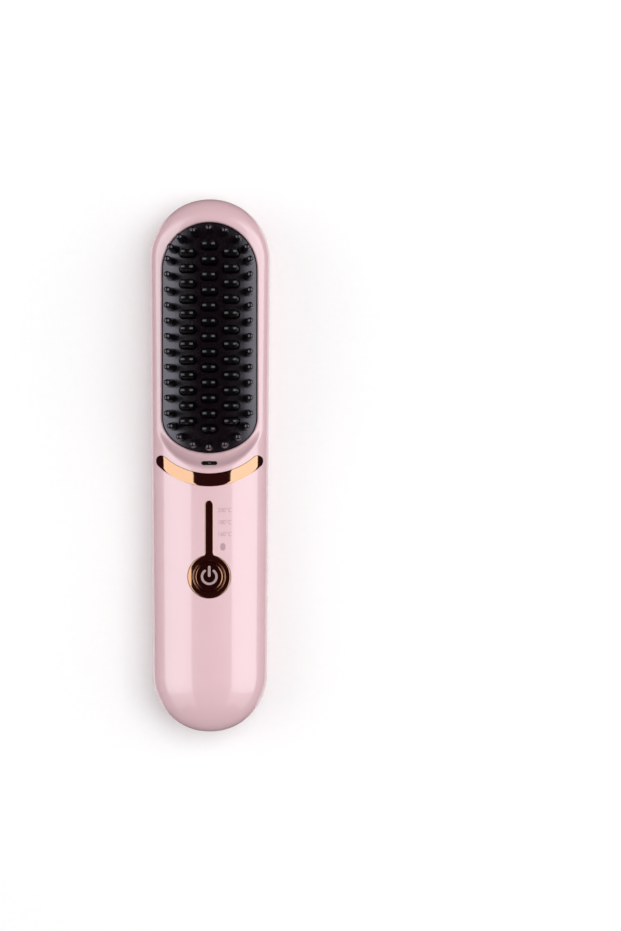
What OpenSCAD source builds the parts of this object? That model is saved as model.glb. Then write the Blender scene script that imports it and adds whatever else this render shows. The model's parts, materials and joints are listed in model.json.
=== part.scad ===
// Cordless hair straightening brush, lying on its back.
// +Y points to the head's tip, +Z is the way the teeth point, and the lowest point of the back is at z = 0.
// Inside the modules z = 0 is the seam between the two housing shells, and at_seam() lifts each piece.

/* [Housing] */
// Overall length, from the tail to the head's tip
length = 200; // [198:0.5:206]
// Half of the width at the head
head_r = 22.5; // [22.3:0.1:23.5]
// Half of the width at the tail
tail_r = 21.4; // [21.3:0.1:22.3]
// Height of the front shell over the seam, as a share of the half width
front_rise = 0.66; // [0.65:0.01:0.7]
// Depth of the rear shell under the seam, as a share of the half width
rear_rise = 0.685; // [0.66:0.005:0.74]
// Depth of the flat strip along the back, on which the brush lies still
rest_depth = 0.2; // [0.1:0.05:0.3]
// Wall thickness of both shells
wall = 2; // [1.9:0.05:2.1]
// Open line that shows between the two shells
seam_gap = 0.3; // [0.2:0.05:0.4]
// Depth of the tongue that locates the shells
tongue_h = 1.5; // [1.2:0.1:2]
// Thickness of that tongue
tongue_t = 0.85; // [0.7:0.05:1]

/* [Head opening] */
// Half of the opening's width
opening_r = 17.8; // [17.4:0.1:18]
// Length of the opening
opening_l = 86.1; // [85.5:0.1:87]
// Distance from the head's tip to the opening's upper edge
opening_top = 9.2; // [8.8:0.1:9.6]
// Depth of the curve at the lower end of the opening
opening_bow = 13.2; // [12:0.1:15]
// Height of the head's face along its middle, over the seam
face_top = 10.4; // [10.2:0.05:10.8]
// Radius of the wide curve of the head's face, from side to side
face_r = 53.4; // [52:0.2:60]
// Thickness of the rim
rim_t = 2; // [1.8:0.1:2.2]
// Steepness of the cone-shaped slope below the opening, as rise over run
slope = 1.3; // [1.2:0.02:1.4]
// Distance from the opening's lower edge down to the foot of the slope
slope_down = 2.7; // [2.5:0.1:2.9]
// Radius of that foot, which bends round the opening's lower end
slope_r = 31.7; // [31:0.1:33]

/* [Teeth] */
// Distance from one row of teeth to the next
pitch = 5.7; // [5.5:0.05:5.8]
// Distance from the opening's upper edge to the middle of the teeth
teeth_down = 43; // [42.6:0.1:43.4]
// Distance of the straight rows of pins from the middle, at their tips
pin_x = 15.4; // [14.9:0.1:15.5]
// How far those pins lean outwards, in degrees
pin_lean = 2.5; // [0:0.1:3]
// Height of the pins' tips over the seam
pin_top = 26.8; // [22:0.1:28]
// Radius of a pin at its foot
pin_foot_r = 1.7; // [1.5:0.05:1.8]
// Radius of a pin's round tip
pin_tip_r = 1.15; // [1:0.05:1.3]
// Height of the blades' tips over the seam
blade_top = 25.8; // [21:0.1:27]
// Distance between the two round ends of a blade
blade_w = 3.2; // [2.8:0.1:3.4]
// Radius of a blade's round ends at its foot
blade_foot_r = 1.5; // [1.3:0.05:1.6]
// Radius of a blade's round ends at its tip
blade_tip_r = 0.95; // [0.8:0.05:1.05]
// Distance of the two side columns of blades from the middle
blade_x = 8.1; // [7.9:0.1:8.3]
// Radius of the curve of the blades' tops, from end to end
blade_crown_r = 3.9; // [3.6:0.1:4.4]
// Rows of blades in the middle column
blade_rows = 13; // [9:2:13]

/* [Comb and heater] */
// Height of the comb guard's underside over the seam
guard_z = 4.3; // [4:0.05:4.4]
// Thickness of the comb guard's plate
guard_t = 2; // [1.6:0.1:2.2]
// How far the comb guard lies below the head's face
guard_drop = 0.6; // [0.4:0.05:0.8]
// Width of the comb guard's thick edge
guard_rail = 2.8; // [2.4:0.1:3]
// Gap between the comb guard and the shell
guard_gap = 0.35; // [0.2:0.05:0.5]
// Gap around a blade where it comes through the comb guard
blade_gap = 0.3; // [0.2:0.05:0.4]
// Half of the heater plate's width
heater_half = 11.8; // [11.6:0.1:12]
// Thickness of the heater plate that carries the blades
heater_t = 1.9; // [1.5:0.1:2.2]
// Thickness of a ceramic heating element
ptc_t = 1.6; // [1.4:0.1:1.8]
// Side of a ceramic heating element
ptc_w = 15; // [14:0.5:15.5]
// Thickness of the insulating sheet
mica_t = 0.2; // [0.15:0.05:0.3]
// Thickness of the plate that presses the elements up
clamp_t = 0.8; // [0.6:0.1:1]
// Width of the insulating sheet and of that plate
clamp_w = 18; // [17:0.5:19]
// Length of the insulating sheet and of that plate
clamp_l = 49.6; // [48:0.2:51]
// Thickness of the heater carrier's floor
carrier_t = 1.2; // [1:0.1:1.5]

/* [Button and panel] */
// Distance from the opening's lower edge to the power button's centre
button_down = 46.05; // [45:0.05:47]
// Radius of the power button
button_r = 5.85; // [5.5:0.05:6.2]
// Radius of the dished middle of the button's top
button_dish_r = 4.95; // [4.6:0.05:5.1]
// How far the power button travels
travel = 0.4; // [0.3:0.05:0.45]
// Radius of the round recess around the button
bezel_r = 8.05; // [7.9:0.05:8.2]
// Depth of the dish in that recess
dish_depth = 0.9; // [0.7:0.05:1]
// Width of the indicator strip
strip_w = 3; // [2.6:0.1:3.2]
// Distance from the opening's lower edge to the indicator strip's upper end
strip_down = 17.8; // [17:0.1:18.5]
// Thickness of the indicator strip
strip_t = 1; // [0.9:0.05:1.1]
// Width of the light guide under the strip
guide_w = 2; // [1.6:0.1:2.2]
// Length of the light guide
guide_l = 16.5; // [15:0.5:18]

/* [Trim and outlet] */
// Radius of the arc trim's upper edge
trim_in_r = 25.2; // [24.6:0.1:26]
// Radius of the arc trim's lower edge
trim_out_r = 28.3; // [27.6:0.1:29]
// Distance from the opening's lower edge to the arc trim, along the middle
trim_down = 7.6; // [7.4:0.1:7.9]
// Width of the arc trim at the middle
trim_w = 4.9; // [4.5:0.1:5.1]
// Turn from the middle of the arc trim to the centre of its round end, in degrees
trim_turn = 42; // [41:0.5:43]
// Thickness of the arc trim
trim_t = 0.9; // [0.7:0.05:1]
// How far the arc trim stands proud of the shell
trim_proud = 0.15; // [0.1:0.05:0.25]
// Distance from the opening's lower edge to the ion outlet's centre
outlet_down = 3.8; // [3.6:0.1:4]
// Width of the ion outlet
outlet_w = 5.8; // [5:0.1:6.4]
// Height of the ion outlet
outlet_h = 1.5; // [1.3:0.1:1.8]
// Width of the ion generator
ion_w = 21; // [19:0.5:22]
// Length of the ion generator
ion_l = 16; // [14:0.5:17]
// Height of the ion generator
ion_h = 10; // [8:0.5:10]
// Radius of the ion needle
needle_r = 0.5; // [0.4:0.05:0.5]

/* [Battery] */
// Gap between a battery cell and the housing's side, at the tail
cell_side = 0.7; // [0.6:0.05:0.9]
// Gap between the battery cells and the tail's screw boss
cell_tail = 2.6; // [2:0.1:3]
// Gap between the two battery cells
cell_gap = 0.6; // [0.4:0.1:0.8]
// Distance from the opening's lower edge to the battery cells
cell_down = 20.7; // [20.5:0.1:21.5]

/* [Boards] */
// Thickness of the circuit boards
board_t = 1; // [0.8:0.1:1]
// Depth of the main board's underside below the housing's crown
main_depth = 5.7; // [5.5:0.05:5.8]
// Half of the main board's width
main_w = 6; // [5.5:0.1:6.2]
// Length of the main board
main_l = 46; // [44:0.5:47]
// Height of the driver board's underside over the seam
driver_z = -7; // [-8:0.1:-6.5]
// Half of the driver board's width
driver_w = 12; // [11.5:0.1:12.2]
// Length of the driver board
driver_l = 40; // [38:0.5:42]
// Half of the charge board's width
charge_w = 7.6; // [7.4:0.1:7.8]
// Length of the charge board
charge_l = 6.4; // [6:0.1:6.6]

/* [Charging port] */
// Width of the charging receptacle
port_w = 8.94; // [8.8:0.02:9.1]
// Height of the charging receptacle
port_h = 3.26; // [3.1:0.02:3.4]
// Length of the charging receptacle
port_l = 7.35; // [6.8:0.05:7.8]
// How far the receptacle's mouth lies inside the tail
port_in = 0.9; // [0.7:0.1:1.1]
// Wall thickness of the receptacle
port_t = 0.3; // [0.25:0.05:0.35]

/* [Lanyard slot] */
// Distance from the tail's end to the slot's middle
lanyard_up = 11.3; // [11:0.1:11.6]
// Height of the slot's middle, under the seam
lanyard_z = -9.5; // [-9.8:0.1:-9]
// Length of the slot
lanyard_l = 4.8; // [4.2:0.1:5.4]
// Width of the slot
lanyard_w = 2; // [1.7:0.1:2.3]
// Depth of the slot
lanyard_d = 3; // [2.5:0.1:3.2]
// Radius of the bar in the slot
lanyard_bar_r = 0.6; // [0.5:0.05:0.7]

/* [Screws] */
// Radius of the housing screws' shanks
screw_r = 1; // [0.9:0.05:1.1]
// Radius of the housing screws' heads
head_screw_r = 1.9; // [1.7:0.05:2]
// Radius of the screw bosses
boss_r = 2.6; // [2.5:0.05:2.8]
// Radius of the small screws' shanks inside
small_r = 0.7; // [0.6:0.05:0.8]
// Radius of the small screws' heads inside
small_head_r = 1.3; // [1.2:0.05:1.4]

/* [Hidden] */
$fn = 64;
pink = "#e4c1c7";
rose_gold = "#e0a080";
black = "#1b1b1e";
board_green = "#1d6b3a";
steel = "#c8c8cc";
fit = 0.1;
seat = 0.05;
big = 300;

seam_z = rear_rise * head_r - rest_depth;
head_y = length / 2 - head_r;
tail_y = tail_r - length / 2;
taper = (head_r - tail_r) / (head_y - tail_y);

// Places along the body
opening_high = length / 2 - opening_top;
opening_low = opening_high - opening_l;
arc_y = opening_high - opening_r;
bow_y = opening_low + opening_bow;
slope_y = opening_low - slope_down + slope_r;
face_dip = face_r / 10;
teeth_y = opening_high - teeth_down;
trim_high = opening_low - trim_down;
trim_low = trim_high - trim_w;
trim_in_y = trim_high + trim_in_r;
trim_out_y = trim_low + trim_out_r;
trim_y = (trim_in_y + trim_out_y) / 2;
trim_near = trim_reach(trim_in_r, trim_in_y);
trim_far = trim_reach(trim_out_r, trim_out_y);
trim_bulge = 0.03;
outlet_y = opening_low - outlet_down;
strip_high = opening_low - strip_down;
button_y = opening_low - button_down;
neck_y = opening_low - 13.7;
cell_high = opening_low - cell_down;
tail_screw_y = 13.8 - length / 2;
cell_low = tail_screw_y + boss_r + cell_tail;
cell_l = cell_high - cell_low;
cell_r = (tail_r - wall - cell_side - cell_gap / 2) / 2;
cell_x = cell_r + cell_gap / 2;
lanyard_y = lanyard_up - length / 2;

// The ion outlet and what stands under it
outlet_z = face_top - 2.2;
outlet_floor = 1.2;
ion_high = 1;
needle_l = outlet_z + outlet_floor + 0.8 - ion_high;

// Heights of the heater's layers, from the comb guard down
heater_top = face_z(heater_half) - guard_drop - guard_t - 2 * fit;
heater_low = heater_top - heater_t;
ptc_low = heater_low - ptc_t;
mica_low = ptc_low - mica_t;
clamp_low = mica_low - clamp_t;
carrier_low = clamp_low - carrier_t;
ptc_pitch = 15.8;

// Boards, their posts and their screws
main_z = crown(button_y) - main_depth;
main_top = main_z + board_t;
main_high = neck_y + 1;
main_low = main_high - main_l;
main_screw_ys = [main_high - 2.6, main_low + 2.6];
driver_low = opening_low + 2.3;
driver_high = driver_low + driver_l;
driver_screw_places = [for (side = [-1, 1], y = [driver_low + 3, driver_high - 3]) [side * 9.5, y]];
charge_top = -port_h / 2;
charge_low = 4.6 - length / 2;
charge_screw_places = [for (side = [-1, 1]) [side * 6, charge_low + 4.4]];
heater_post_places = [for (side = [-1, 1], y = [-27.8, 27.2]) [side * 14.8, teeth_y + y]];
housing_screw_places = [[-14, neck_y], [14, neck_y], [0, tail_screw_y]];
heater_post_r = 2.4;
board_post_r = 1.9;
small_head_h = 0.9;
pilot = 3;

// Tongue between the shells, inside the outer surface by this much
tongue_in = 1;
boss_clip = 0.5;

// Button, its recess and the switch under it
ledge_z = crown(button_y) - 2.7;
dish_edge = 0.45;
dish_steps = 8;
flange_r = 6.7;
flange_t = 0.5;
flange_z = ledge_z - fit - flange_t;
button_top = crown(button_y) - 0.95;
button_bevel = 0.15;
plunger_r = 1.25;
plunger_z = main_top + travel + fit;
plunger_h = flange_z - seat - plunger_z;
switch_w = 5.2;
switch_h = 0.8;
led_h = 0.6;
guide_low = button_y + 9.95;
label_ys = [for (i = [0 : 3]) strip_high - 3.4 - 4.5 * i];

// Battery tray, and the metal strips that join the cells
tray_low = -cell_r - 2.2;
tray_high = -0.61 * cell_r;
metal_t = 0.3;

// Half width of the body at a place along its straight part
function half_w(y) = head_r - (head_y - y) * taper;
// Height of the front shell's crown over the seam at such a place
function crown(y) = front_rise * half_w(y);
// Height share of a surface that lies the inset inside the body
function rise_in(rise, inset) = (rise * head_r - inset) / (head_r - inset);
// Height of the head's face over the seam at a place across it
function face_z(x) = face_top - face_r + sqrt(face_r * face_r - x * x);
// Distance from the arc trim's middle point, along its end's ray, to a circle of that radius and centre height
function trim_reach(r, y) = (trim_y - y) * cos(trim_turn) + sqrt(r * r - pow((trim_y - y) * sin(trim_turn), 2));
// Height of the round recess at a distance from its centre
function dish_z(r) = crown(button_y) - dish_edge - dish_depth * (1 - pow(r / bezel_r, 2));

module at_seam() translate([0, 0, seam_z]) children();

module half_space(up, z = 0) translate([-big / 2, -big / 2, up ? z : z - big]) cube(big);

// Outline of the body seen from the front: a round at each end and a straight taper between
module outline(inset = 0) {
    intersection() {
        translate([0, head_y]) circle(head_r - inset);
        translate([-big / 2, head_y]) square(big);
    }
    polygon([[head_r - inset, head_y], [inset - head_r, head_y],
             [inset - tail_r, tail_y], [tail_r - inset, tail_y]]);
    intersection() {
        translate([0, tail_y]) circle(tail_r - inset);
        translate([-big / 2, tail_y - big]) square(big);
    }
}

// The whole body as one solid of elliptical section, inset all round
module body(rise, inset = 0)
    scale([1, 1, rise_in(rise, inset)]) rotate([-90, 0, 0]) rotate_extrude() intersection() {
        outline(inset);
        translate([0, -big / 2]) square(big);
    }

// The rear half of the body, turned so that the back is level from end to end
module rear_body(inset = 0) translate([0, head_y, 0]) rotate([atan(rear_rise * taper), 0, 0])
    translate([0, -head_y, 0]) body(rear_rise, inset);

// Racetrack of the head opening, grown or shrunk all round
module opening(grow = 0) {
    intersection() {
        translate([0, arc_y]) circle(opening_r + grow);
        translate([-big / 2, arc_y]) square(big);
    }
    translate([-opening_r - grow, bow_y]) square([2 * (opening_r + grow), arc_y - bow_y]);
    intersection() {
        translate([0, bow_y]) scale([1, (opening_bow + grow) / (opening_r + grow)]) circle(opening_r + grow);
        translate([-big / 2, bow_y - big]) square(big);
    }
}

// Everything in front of the head's face and of the slope below the opening; down lowers both
module over_face(down = 0) translate([0, 0, face_top - down]) difference() {
    translate([0, slope_y, -face_dip]) {
        cylinder(big, r1 = slope_r - face_dip / slope, r2 = slope_r + (big - face_dip) / slope);
        translate([-big / 2, 0, 0]) cube(big);
    }
    translate([0, -big / 2, -face_r]) rotate([-90, 0, 0]) cylinder(2 * big, r = face_r);
}

// Everything over the dish of the round recess
module over_dish() translate([0, button_y, 0]) rotate_extrude() polygon(concat(
    [for (i = [0 : dish_steps]) let (r = (bezel_r + 1) * i / dish_steps) [r, dish_z(r)]],
    [[bezel_r + 1, big / 2], [0, big / 2]]));

// Bar with round ends: w is the distance of their centres
module pill(w, h, r) linear_extrude(h) {
    translate([-w / 2, -r]) square([w, 2 * r]);
    for (side = [-1, 1]) translate([side * w / 2, 0]) circle(r);
}

// The arc trim seen from the front, cut off along two rays and closed by a round at each end
module crescent(grow = 0) {
    ray = [big * sin(trim_turn), trim_y - big * cos(trim_turn)];
    intersection() {
        difference() {
            translate([0, trim_out_y]) circle(trim_out_r + grow);
            translate([0, trim_in_y]) circle(trim_in_r - grow);
        }
        polygon([[0, trim_y], ray, [0, trim_y - 2 * big], [-ray.x, ray.y]]);
    }
    for (side = [-1, 1]) translate([0, trim_y]) rotate(side * trim_turn - 90)
        translate([(trim_near + trim_far) / 2, 0]) circle((trim_far - trim_near) / 2 + trim_bulge + grow);
}

// The indicator strip seen from the front
module strip(w, high) {
    translate([-w / 2, button_y]) square([w, high - w / 2 - button_y]);
    translate([0, high - w / 2]) circle(w / 2);
}

module port_hole(grow, l) translate([0, port_in - length / 2, 0]) rotate([90, 0, 0])
    translate([0, 0, -l]) pill(port_w - port_h, l + 20, port_h / 2 + grow);

module small_screw(l) {
    translate([0, 0, -l]) cylinder(l, r = small_r - 0.02);
    cylinder(small_head_h, r = small_head_r);
}

module front_shell() color(pink) at_seam() difference() {
    union() {
        difference() {
            body(front_rise);
            difference() {
                body(front_rise, wall);
                over_face(rim_t);
            }
            half_space(false, seam_gap / 2);
        }
        translate([0, 0, -tongue_h]) linear_extrude(tongue_h + 1) difference() {
            outline(tongue_in);
            outline(tongue_in + tongue_t);
        }
        intersection() {
            body(front_rise, boss_clip);
            union() {
                for (p = housing_screw_places) translate([p.x, p.y, 0]) cylinder(big, r = boss_r);
                for (y = main_screw_ys) translate([0, y, main_top]) cylinder(big, r = board_post_r);
                translate([0, button_y, flange_z + 0.2]) cylinder(big, r = bezel_r + 1.3);
                translate([-outlet_w / 2 - 1, outlet_y - 1.8, outlet_z + 0.4]) cube([outlet_w + 2, 3.6, big]);
            }
        }
    }
    over_face();
    linear_extrude(big) opening();
    for (p = housing_screw_places) translate([p.x, p.y, -1]) cylinder(7, r = screw_r);
    for (y = main_screw_ys) translate([0, y, main_top - 1]) cylinder(3.2, r = small_r);
    difference() {
        translate([0, 0, 2]) linear_extrude(big) crescent(fit);
        body(front_rise, trim_t + seat);
    }
    difference() {
        translate([0, 0, main_top]) linear_extrude(big) strip(strip_w + 2 * fit, strip_high + fit);
        body(front_rise, strip_t + seat);
    }
    translate([0, button_y, ledge_z - seat]) cylinder(big, r = bezel_r + fit);
    translate([0, button_y, 0]) cylinder(big, r = flange_r + 0.3);
    translate([-guide_w / 2 - fit, guide_low - fit, main_top]) cube([guide_w + 2 * fit, guide_l + 2 * fit, 10]);
    translate([0, outlet_y, outlet_z - 1]) pill(outlet_w - outlet_h, big, outlet_h / 2 + fit);
    port_hole(0.2, 3);
}

module rear_shell() color(pink) at_seam() difference() {
    union() {
        difference() {
            rear_body();
            rear_body(wall);
            half_space(true, -seam_gap / 2);
            half_space(false, -seam_z);
        }
        intersection() {
            rear_body(boss_clip);
            union() {
                for (p = housing_screw_places) translate([p.x, p.y, -big]) cylinder(big - fit, r = boss_r);
                for (p = heater_post_places)
                    translate([p.x, p.y, carrier_low - big]) cylinder(big, r = heater_post_r);
                for (p = driver_screw_places)
                    translate([p.x, p.y, driver_z - big]) cylinder(big, r = board_post_r);
                for (p = charge_screw_places)
                    translate([p.x, p.y, charge_top - board_t - big]) cylinder(big, r = 1.5);
                for (side = [-1, 1])
                    translate([side * 5 - 0.6, cell_low, tray_low - big]) cube([1.2, cell_l, big]);
                lanyard_place() translate([0, 0, 2])
                    cube([lanyard_l + 3, lanyard_w + 3, 2 * lanyard_d + 3], true);
            }
        }
    }
    translate([0, 0, -tongue_h - fit]) linear_extrude(big) difference() {
        outline(tongue_in - fit);
        outline(wall + 0.5);
    }
    for (p = housing_screw_places) {
        translate([p.x, p.y, -big]) cylinder(big + 1, r = screw_r + 0.2);
        translate([p.x, p.y, -big - 4]) cylinder(big, r = head_screw_r + fit);
    }
    for (p = heater_post_places) translate([p.x, p.y, carrier_low - 5]) cylinder(6, r = small_r);
    for (p = driver_screw_places) translate([p.x, p.y, driver_z - pilot]) cylinder(pilot + 1, r = small_r);
    for (p = charge_screw_places)
        translate([p.x, p.y, charge_top - board_t - pilot]) cylinder(pilot + 1, r = small_r);
    lanyard_place() difference() {
        translate([0, 0, -lanyard_d]) pill(lanyard_l - lanyard_w, 2 * lanyard_d + 2, lanyard_w / 2);
        translate([0, 0, -1.4]) rotate([90, 0, 0]) cylinder(lanyard_w + 2, r = lanyard_bar_r, center = true);
    }
    port_hole(0.2, 3);
}

// Puts the slot square to the rear shell, on the left side near the tail
module lanyard_place() {
    y = lanyard_y - tail_y;
    x = -sqrt(tail_r * tail_r - y * y - pow(lanyard_z / rear_rise, 2));
    n = [x, y, lanyard_z / (rear_rise * rear_rise)];
    translate([x, lanyard_y, lanyard_z]) rotate([0, acos(n.z / norm(n)), atan2(n.y, n.x)])
        rotate(60) children();
}

module crescent_trim() color(rose_gold) at_seam() difference() {
    intersection() {
        body(front_rise, -trim_proud);
        translate([0, 0, 2]) linear_extrude(big) crescent();
    }
    body(front_rise, trim_t);
}

module control_bezel() color("#5a3430") at_seam() difference() {
    union() {
        difference() {
            intersection() {
                body(front_rise, -0.05);
                translate([0, 0, main_top]) linear_extrude(big) strip(strip_w, strip_high);
            }
            body(front_rise, strip_t);
        }
        intersection() {
            body(front_rise, -0.05);
            translate([0, button_y, ledge_z]) cylinder(big, r = bezel_r);
        }
    }
    over_dish();
    translate([0, button_y, 0]) cylinder(big, r = button_r + fit);
}

module light_guide() color("white", 0.6) at_seam() {
    low = main_top + led_h + 0.15;
    translate([-guide_w / 2, guide_low, low])
        cube([guide_w, guide_l, crown(guide_low) - strip_t - fit - low]);
}

module power_button() color(rose_gold) at_seam() translate([0, button_y, 0]) rotate_extrude() polygon([
    [0, flange_z], [flange_r, flange_z], [flange_r, flange_z + flange_t], [button_r, flange_z + flange_t],
    [button_r, button_top - button_bevel], [button_r - button_bevel, button_top],
    [button_dish_r, button_top], [button_dish_r, button_top - button_bevel],
    [button_dish_r / 2, button_top - 0.35], [0, button_top - 0.4]]);

module switch_plunger() color(black) at_seam()
    translate([0, button_y, plunger_z]) cylinder(plunger_h, r = plunger_r);

module tact_switch() color(steel) at_seam() translate([0, button_y, main_top]) difference() {
    translate([-switch_w / 2, -switch_w / 2, 0]) cube([switch_w, switch_w, switch_h]);
    translate([0, 0, -1]) cylinder(switch_h + 2, r = plunger_r + 0.08);
}

module main_board() color(board_green) at_seam() difference() {
    translate([-main_w, main_low, main_z]) cube([2 * main_w, main_l, board_t]);
    for (y = main_screw_ys) translate([0, y, main_z - 1]) cylinder(board_t + 2, r = small_r + fit);
}

module indicator_leds() color("white") at_seam()
    for (y = label_ys) translate([-0.8, y - 0.4, main_top]) cube([1.6, 0.8, led_h]);

// A round pin of the comb guard, which leans outwards the more, the further it is from the middle
module pin(p) {
    lean = pin_lean * p.x / pin_x;
    foot = face_z(p.x) - guard_drop - 0.8;
    rise = pin_top - pin_tip_r - foot;
    translate([p.x - tan(lean) * rise, p.y, foot]) rotate([0, lean, 0]) {
        cylinder(rise / cos(lean), r1 = pin_foot_r, r2 = pin_tip_r - 0.05);
        translate([0, 0, rise / cos(lean)]) sphere(pin_tip_r);
    }
}

// Two straight rows of pins, and an arc of pins round each end of the opening
function pin_places() = let (
    row = [-5 : 5],
    high = opening_high - 3 - teeth_y - 5 * pitch,
    low = teeth_y - 5 * pitch - opening_low - 2.3) concat(
    [for (side = [-1, 1], k = row) [side * pin_x, teeth_y + k * pitch]],
    [for (i = [1 : 7]) [pin_x * cos(i * 22.5), teeth_y + 5 * pitch + high * sin(i * 22.5)]],
    [for (i = [1 : 7]) [pin_x * cos(i * 22.5), teeth_y - 5 * pitch - low * sin(i * 22.5)]]);

function blade_places() = concat(
    [for (k = [0 : blade_rows - 1]) [0, teeth_y + (k - (blade_rows - 1) / 2) * pitch]],
    [for (side = [-1, 1], k = [0 : blade_rows - 2])
        [side * blade_x, teeth_y + (k - (blade_rows - 2) / 2) * pitch]]);

module comb_guard() color(black) at_seam() difference() {
    union() {
        difference() {
            translate([0, 0, guard_z]) linear_extrude(10) opening(-guard_gap);
            over_face(guard_drop);
        }
        translate([0, 0, guard_z]) linear_extrude(0.9) opening(0.25);
        for (p = pin_places()) pin(p);
    }
    difference() {
        translate([0, 0, guard_z - 1]) linear_extrude(10) opening(-guard_rail);
        over_face(guard_drop + guard_t);
    }
    for (p = blade_places()) translate([p.x, p.y, guard_z]) pill(blade_w, 10, blade_foot_r + blade_gap);
}

// A blade of the heater plate: two round ends, a flat web between them and a crown bent over both
module blade(top) {
    web = 0.96;
    ring = blade_crown_r - blade_tip_r;
    turn = asin(blade_w / 2 / ring);
    rise = top - blade_crown_r + ring * cos(turn);
    for (side = [-1, 1]) translate([side * blade_w / 2, 0, 0]) {
        cylinder(rise, r1 = blade_foot_r, r2 = blade_tip_r);
        translate([0, 0, rise]) sphere(blade_tip_r + 0.02);
    }
    rotate([90, 0, 90]) translate([0, 0, -blade_w / 2]) linear_extrude(blade_w) {
        polygon([[-blade_foot_r * web, 0], [blade_foot_r * web, 0],
                 [blade_tip_r * web, rise], [-blade_tip_r * web, rise]]);
        translate([0, rise]) circle(blade_tip_r * web);
    }
    translate([0, 0, top - blade_crown_r]) rotate([90, 0, 0]) intersection() {
        rotate_extrude() translate([ring, 0]) circle(blade_tip_r);
        translate([0, 0, -blade_foot_r]) linear_extrude(2 * blade_foot_r)
            polygon([[0, 0], [big * tan(turn), big], [-big * tan(turn), big]]);
    }
}

module heater_outline(inset = 0) intersection() {
    opening(-guard_rail - 1.7 - inset);
    translate([inset - heater_half, -big / 2]) square([2 * (heater_half - inset), big]);
}

module heater_plate() color("#2a2a2e") at_seam() {
    translate([0, 0, heater_low]) linear_extrude(heater_t) heater_outline();
    for (p = blade_places()) translate([p.x, p.y, heater_top - 0.4]) blade(blade_top - heater_top + 0.4);
}

module heating_elements() color("#c8b08a") at_seam()
    for (i = [-1 : 1]) translate([-ptc_w / 2, teeth_y + i * ptc_pitch - ptc_w / 2, ptc_low])
        cube([ptc_w, ptc_w, ptc_t]);

module heater_layer(low, t) translate([-clamp_w / 2, teeth_y - clamp_l / 2, low]) cube([clamp_w, clamp_l, t]);
module insulation_sheet() color("#b98a3a", 0.8) at_seam() heater_layer(mica_low, mica_t);
module clamp_plate() color(steel) at_seam() heater_layer(clamp_low, clamp_t);

module heater_carrier() color("#3a3a40") at_seam() difference() {
    translate([0, 0, carrier_low]) linear_extrude(guard_z - carrier_low) opening(-1.2);
    translate([0, 0, clamp_low]) linear_extrude(big) heater_outline(-0.3);
    for (p = heater_post_places) translate([p.x, p.y, 0]) {
        translate([0, 0, carrier_low - 1]) cylinder(4, r = small_r + fit);
        translate([0, 0, clamp_low]) cylinder(big, r = small_head_r + 0.2);
    }
}

module heater_screws() color(steel) at_seam()
    for (p = heater_post_places) translate([p.x, p.y, clamp_low]) small_screw(carrier_t + 4.5);

module temperature_sensor() color("#d8c070") at_seam()
    translate([-3, teeth_y + 29.7, heater_low - 1.05]) rotate([0, 90, 0]) cylinder(6, r = 1);

module thermal_fuse() color("#d0d0d8") at_seam()
    translate([-4.5, teeth_y - 29.8, heater_low - 1.25]) rotate([0, 90, 0]) cylinder(9, r = 1.2);

module driver_board() color(board_green) at_seam() difference() {
    translate([-driver_w, driver_low, driver_z]) cube([2 * driver_w, driver_l, board_t]);
    for (p = driver_screw_places) translate([p.x, p.y, driver_z - 1]) cylinder(board_t + 2, r = small_r + fit);
}

// The controller, two transistors and a coil
module driver_parts() color("#303034") at_seam() translate([0, driver_low, driver_z + board_t]) {
    translate([-4, 7, 0]) cube([8, 8, 1.2]);
    for (side = [-1, 1]) translate([side * 5 - 3, 19, 0]) cube([6, 6.5, 2.3]);
    translate([0, 31, 0]) cylinder(3.2, r = 3.5);
}

module board_screws() color(steel) at_seam() {
    for (y = main_screw_ys) translate([0, y, main_z]) mirror([0, 0, 1]) small_screw(board_t + 2);
    for (p = driver_screw_places) translate([p.x, p.y, driver_z + board_t]) small_screw(board_t + 2.5);
    for (p = charge_screw_places) translate([p.x, p.y, charge_top]) small_screw(board_t + 2.5);
}

module ion_generator() color("#303440") at_seam()
    translate([-ion_w / 2, outlet_y + 1.6 - ion_l, ion_high - ion_h]) cube([ion_w, ion_l, ion_h]);

module ion_needle() color(steel) at_seam() translate([0, outlet_y, ion_high]) cylinder(needle_l, r = needle_r);

module ion_outlet() color(black) at_seam() difference() {
    translate([0, outlet_y, outlet_z]) pill(outlet_w - outlet_h, face_top, outlet_h / 2);
    over_face(0.4);
    translate([0, outlet_y, outlet_z + outlet_floor]) pill(outlet_w - outlet_h - 0.2, big, outlet_h / 2 - 0.3);
    translate([0, outlet_y, 0]) cylinder(big / 2, r = needle_r + fit);
}

module battery_cell(side) color("#3f7fb5") at_seam()
    translate([side * cell_x, cell_low, 0]) rotate([-90, 0, 0]) cylinder(cell_l, r = cell_r);
module battery_cell_left() battery_cell(-1);
module battery_cell_right() battery_cell(1);

module battery_tray() color("#404048") at_seam() difference() {
    intersection() {
        rear_body(wall + 0.3);
        translate([-big / 2, cell_low, tray_low]) cube([big, cell_l, tray_high - tray_low]);
    }
    for (side = [-1, 1]) translate([side * cell_x, cell_low - 1, 0]) rotate([-90, 0, 0])
        cylinder(cell_l + 2, r = cell_r + 0.05);
}

module nickel_strips() color(steel) at_seam() {
    translate([-cell_x - 3, cell_high, -3]) cube([2 * cell_x + 6, metal_t, 6]);
    for (side = [-1, 1]) translate([side * cell_x - 3, cell_low - metal_t, -3]) cube([6, metal_t, 6]);
}

module charge_board() color(board_green) at_seam() difference() {
    translate([-charge_w, charge_low, charge_top - board_t]) cube([2 * charge_w, charge_l, board_t]);
    for (p = charge_screw_places)
        translate([p.x, p.y, charge_top - board_t - 1]) cylinder(board_t + 2, r = small_r + fit);
}

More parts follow.
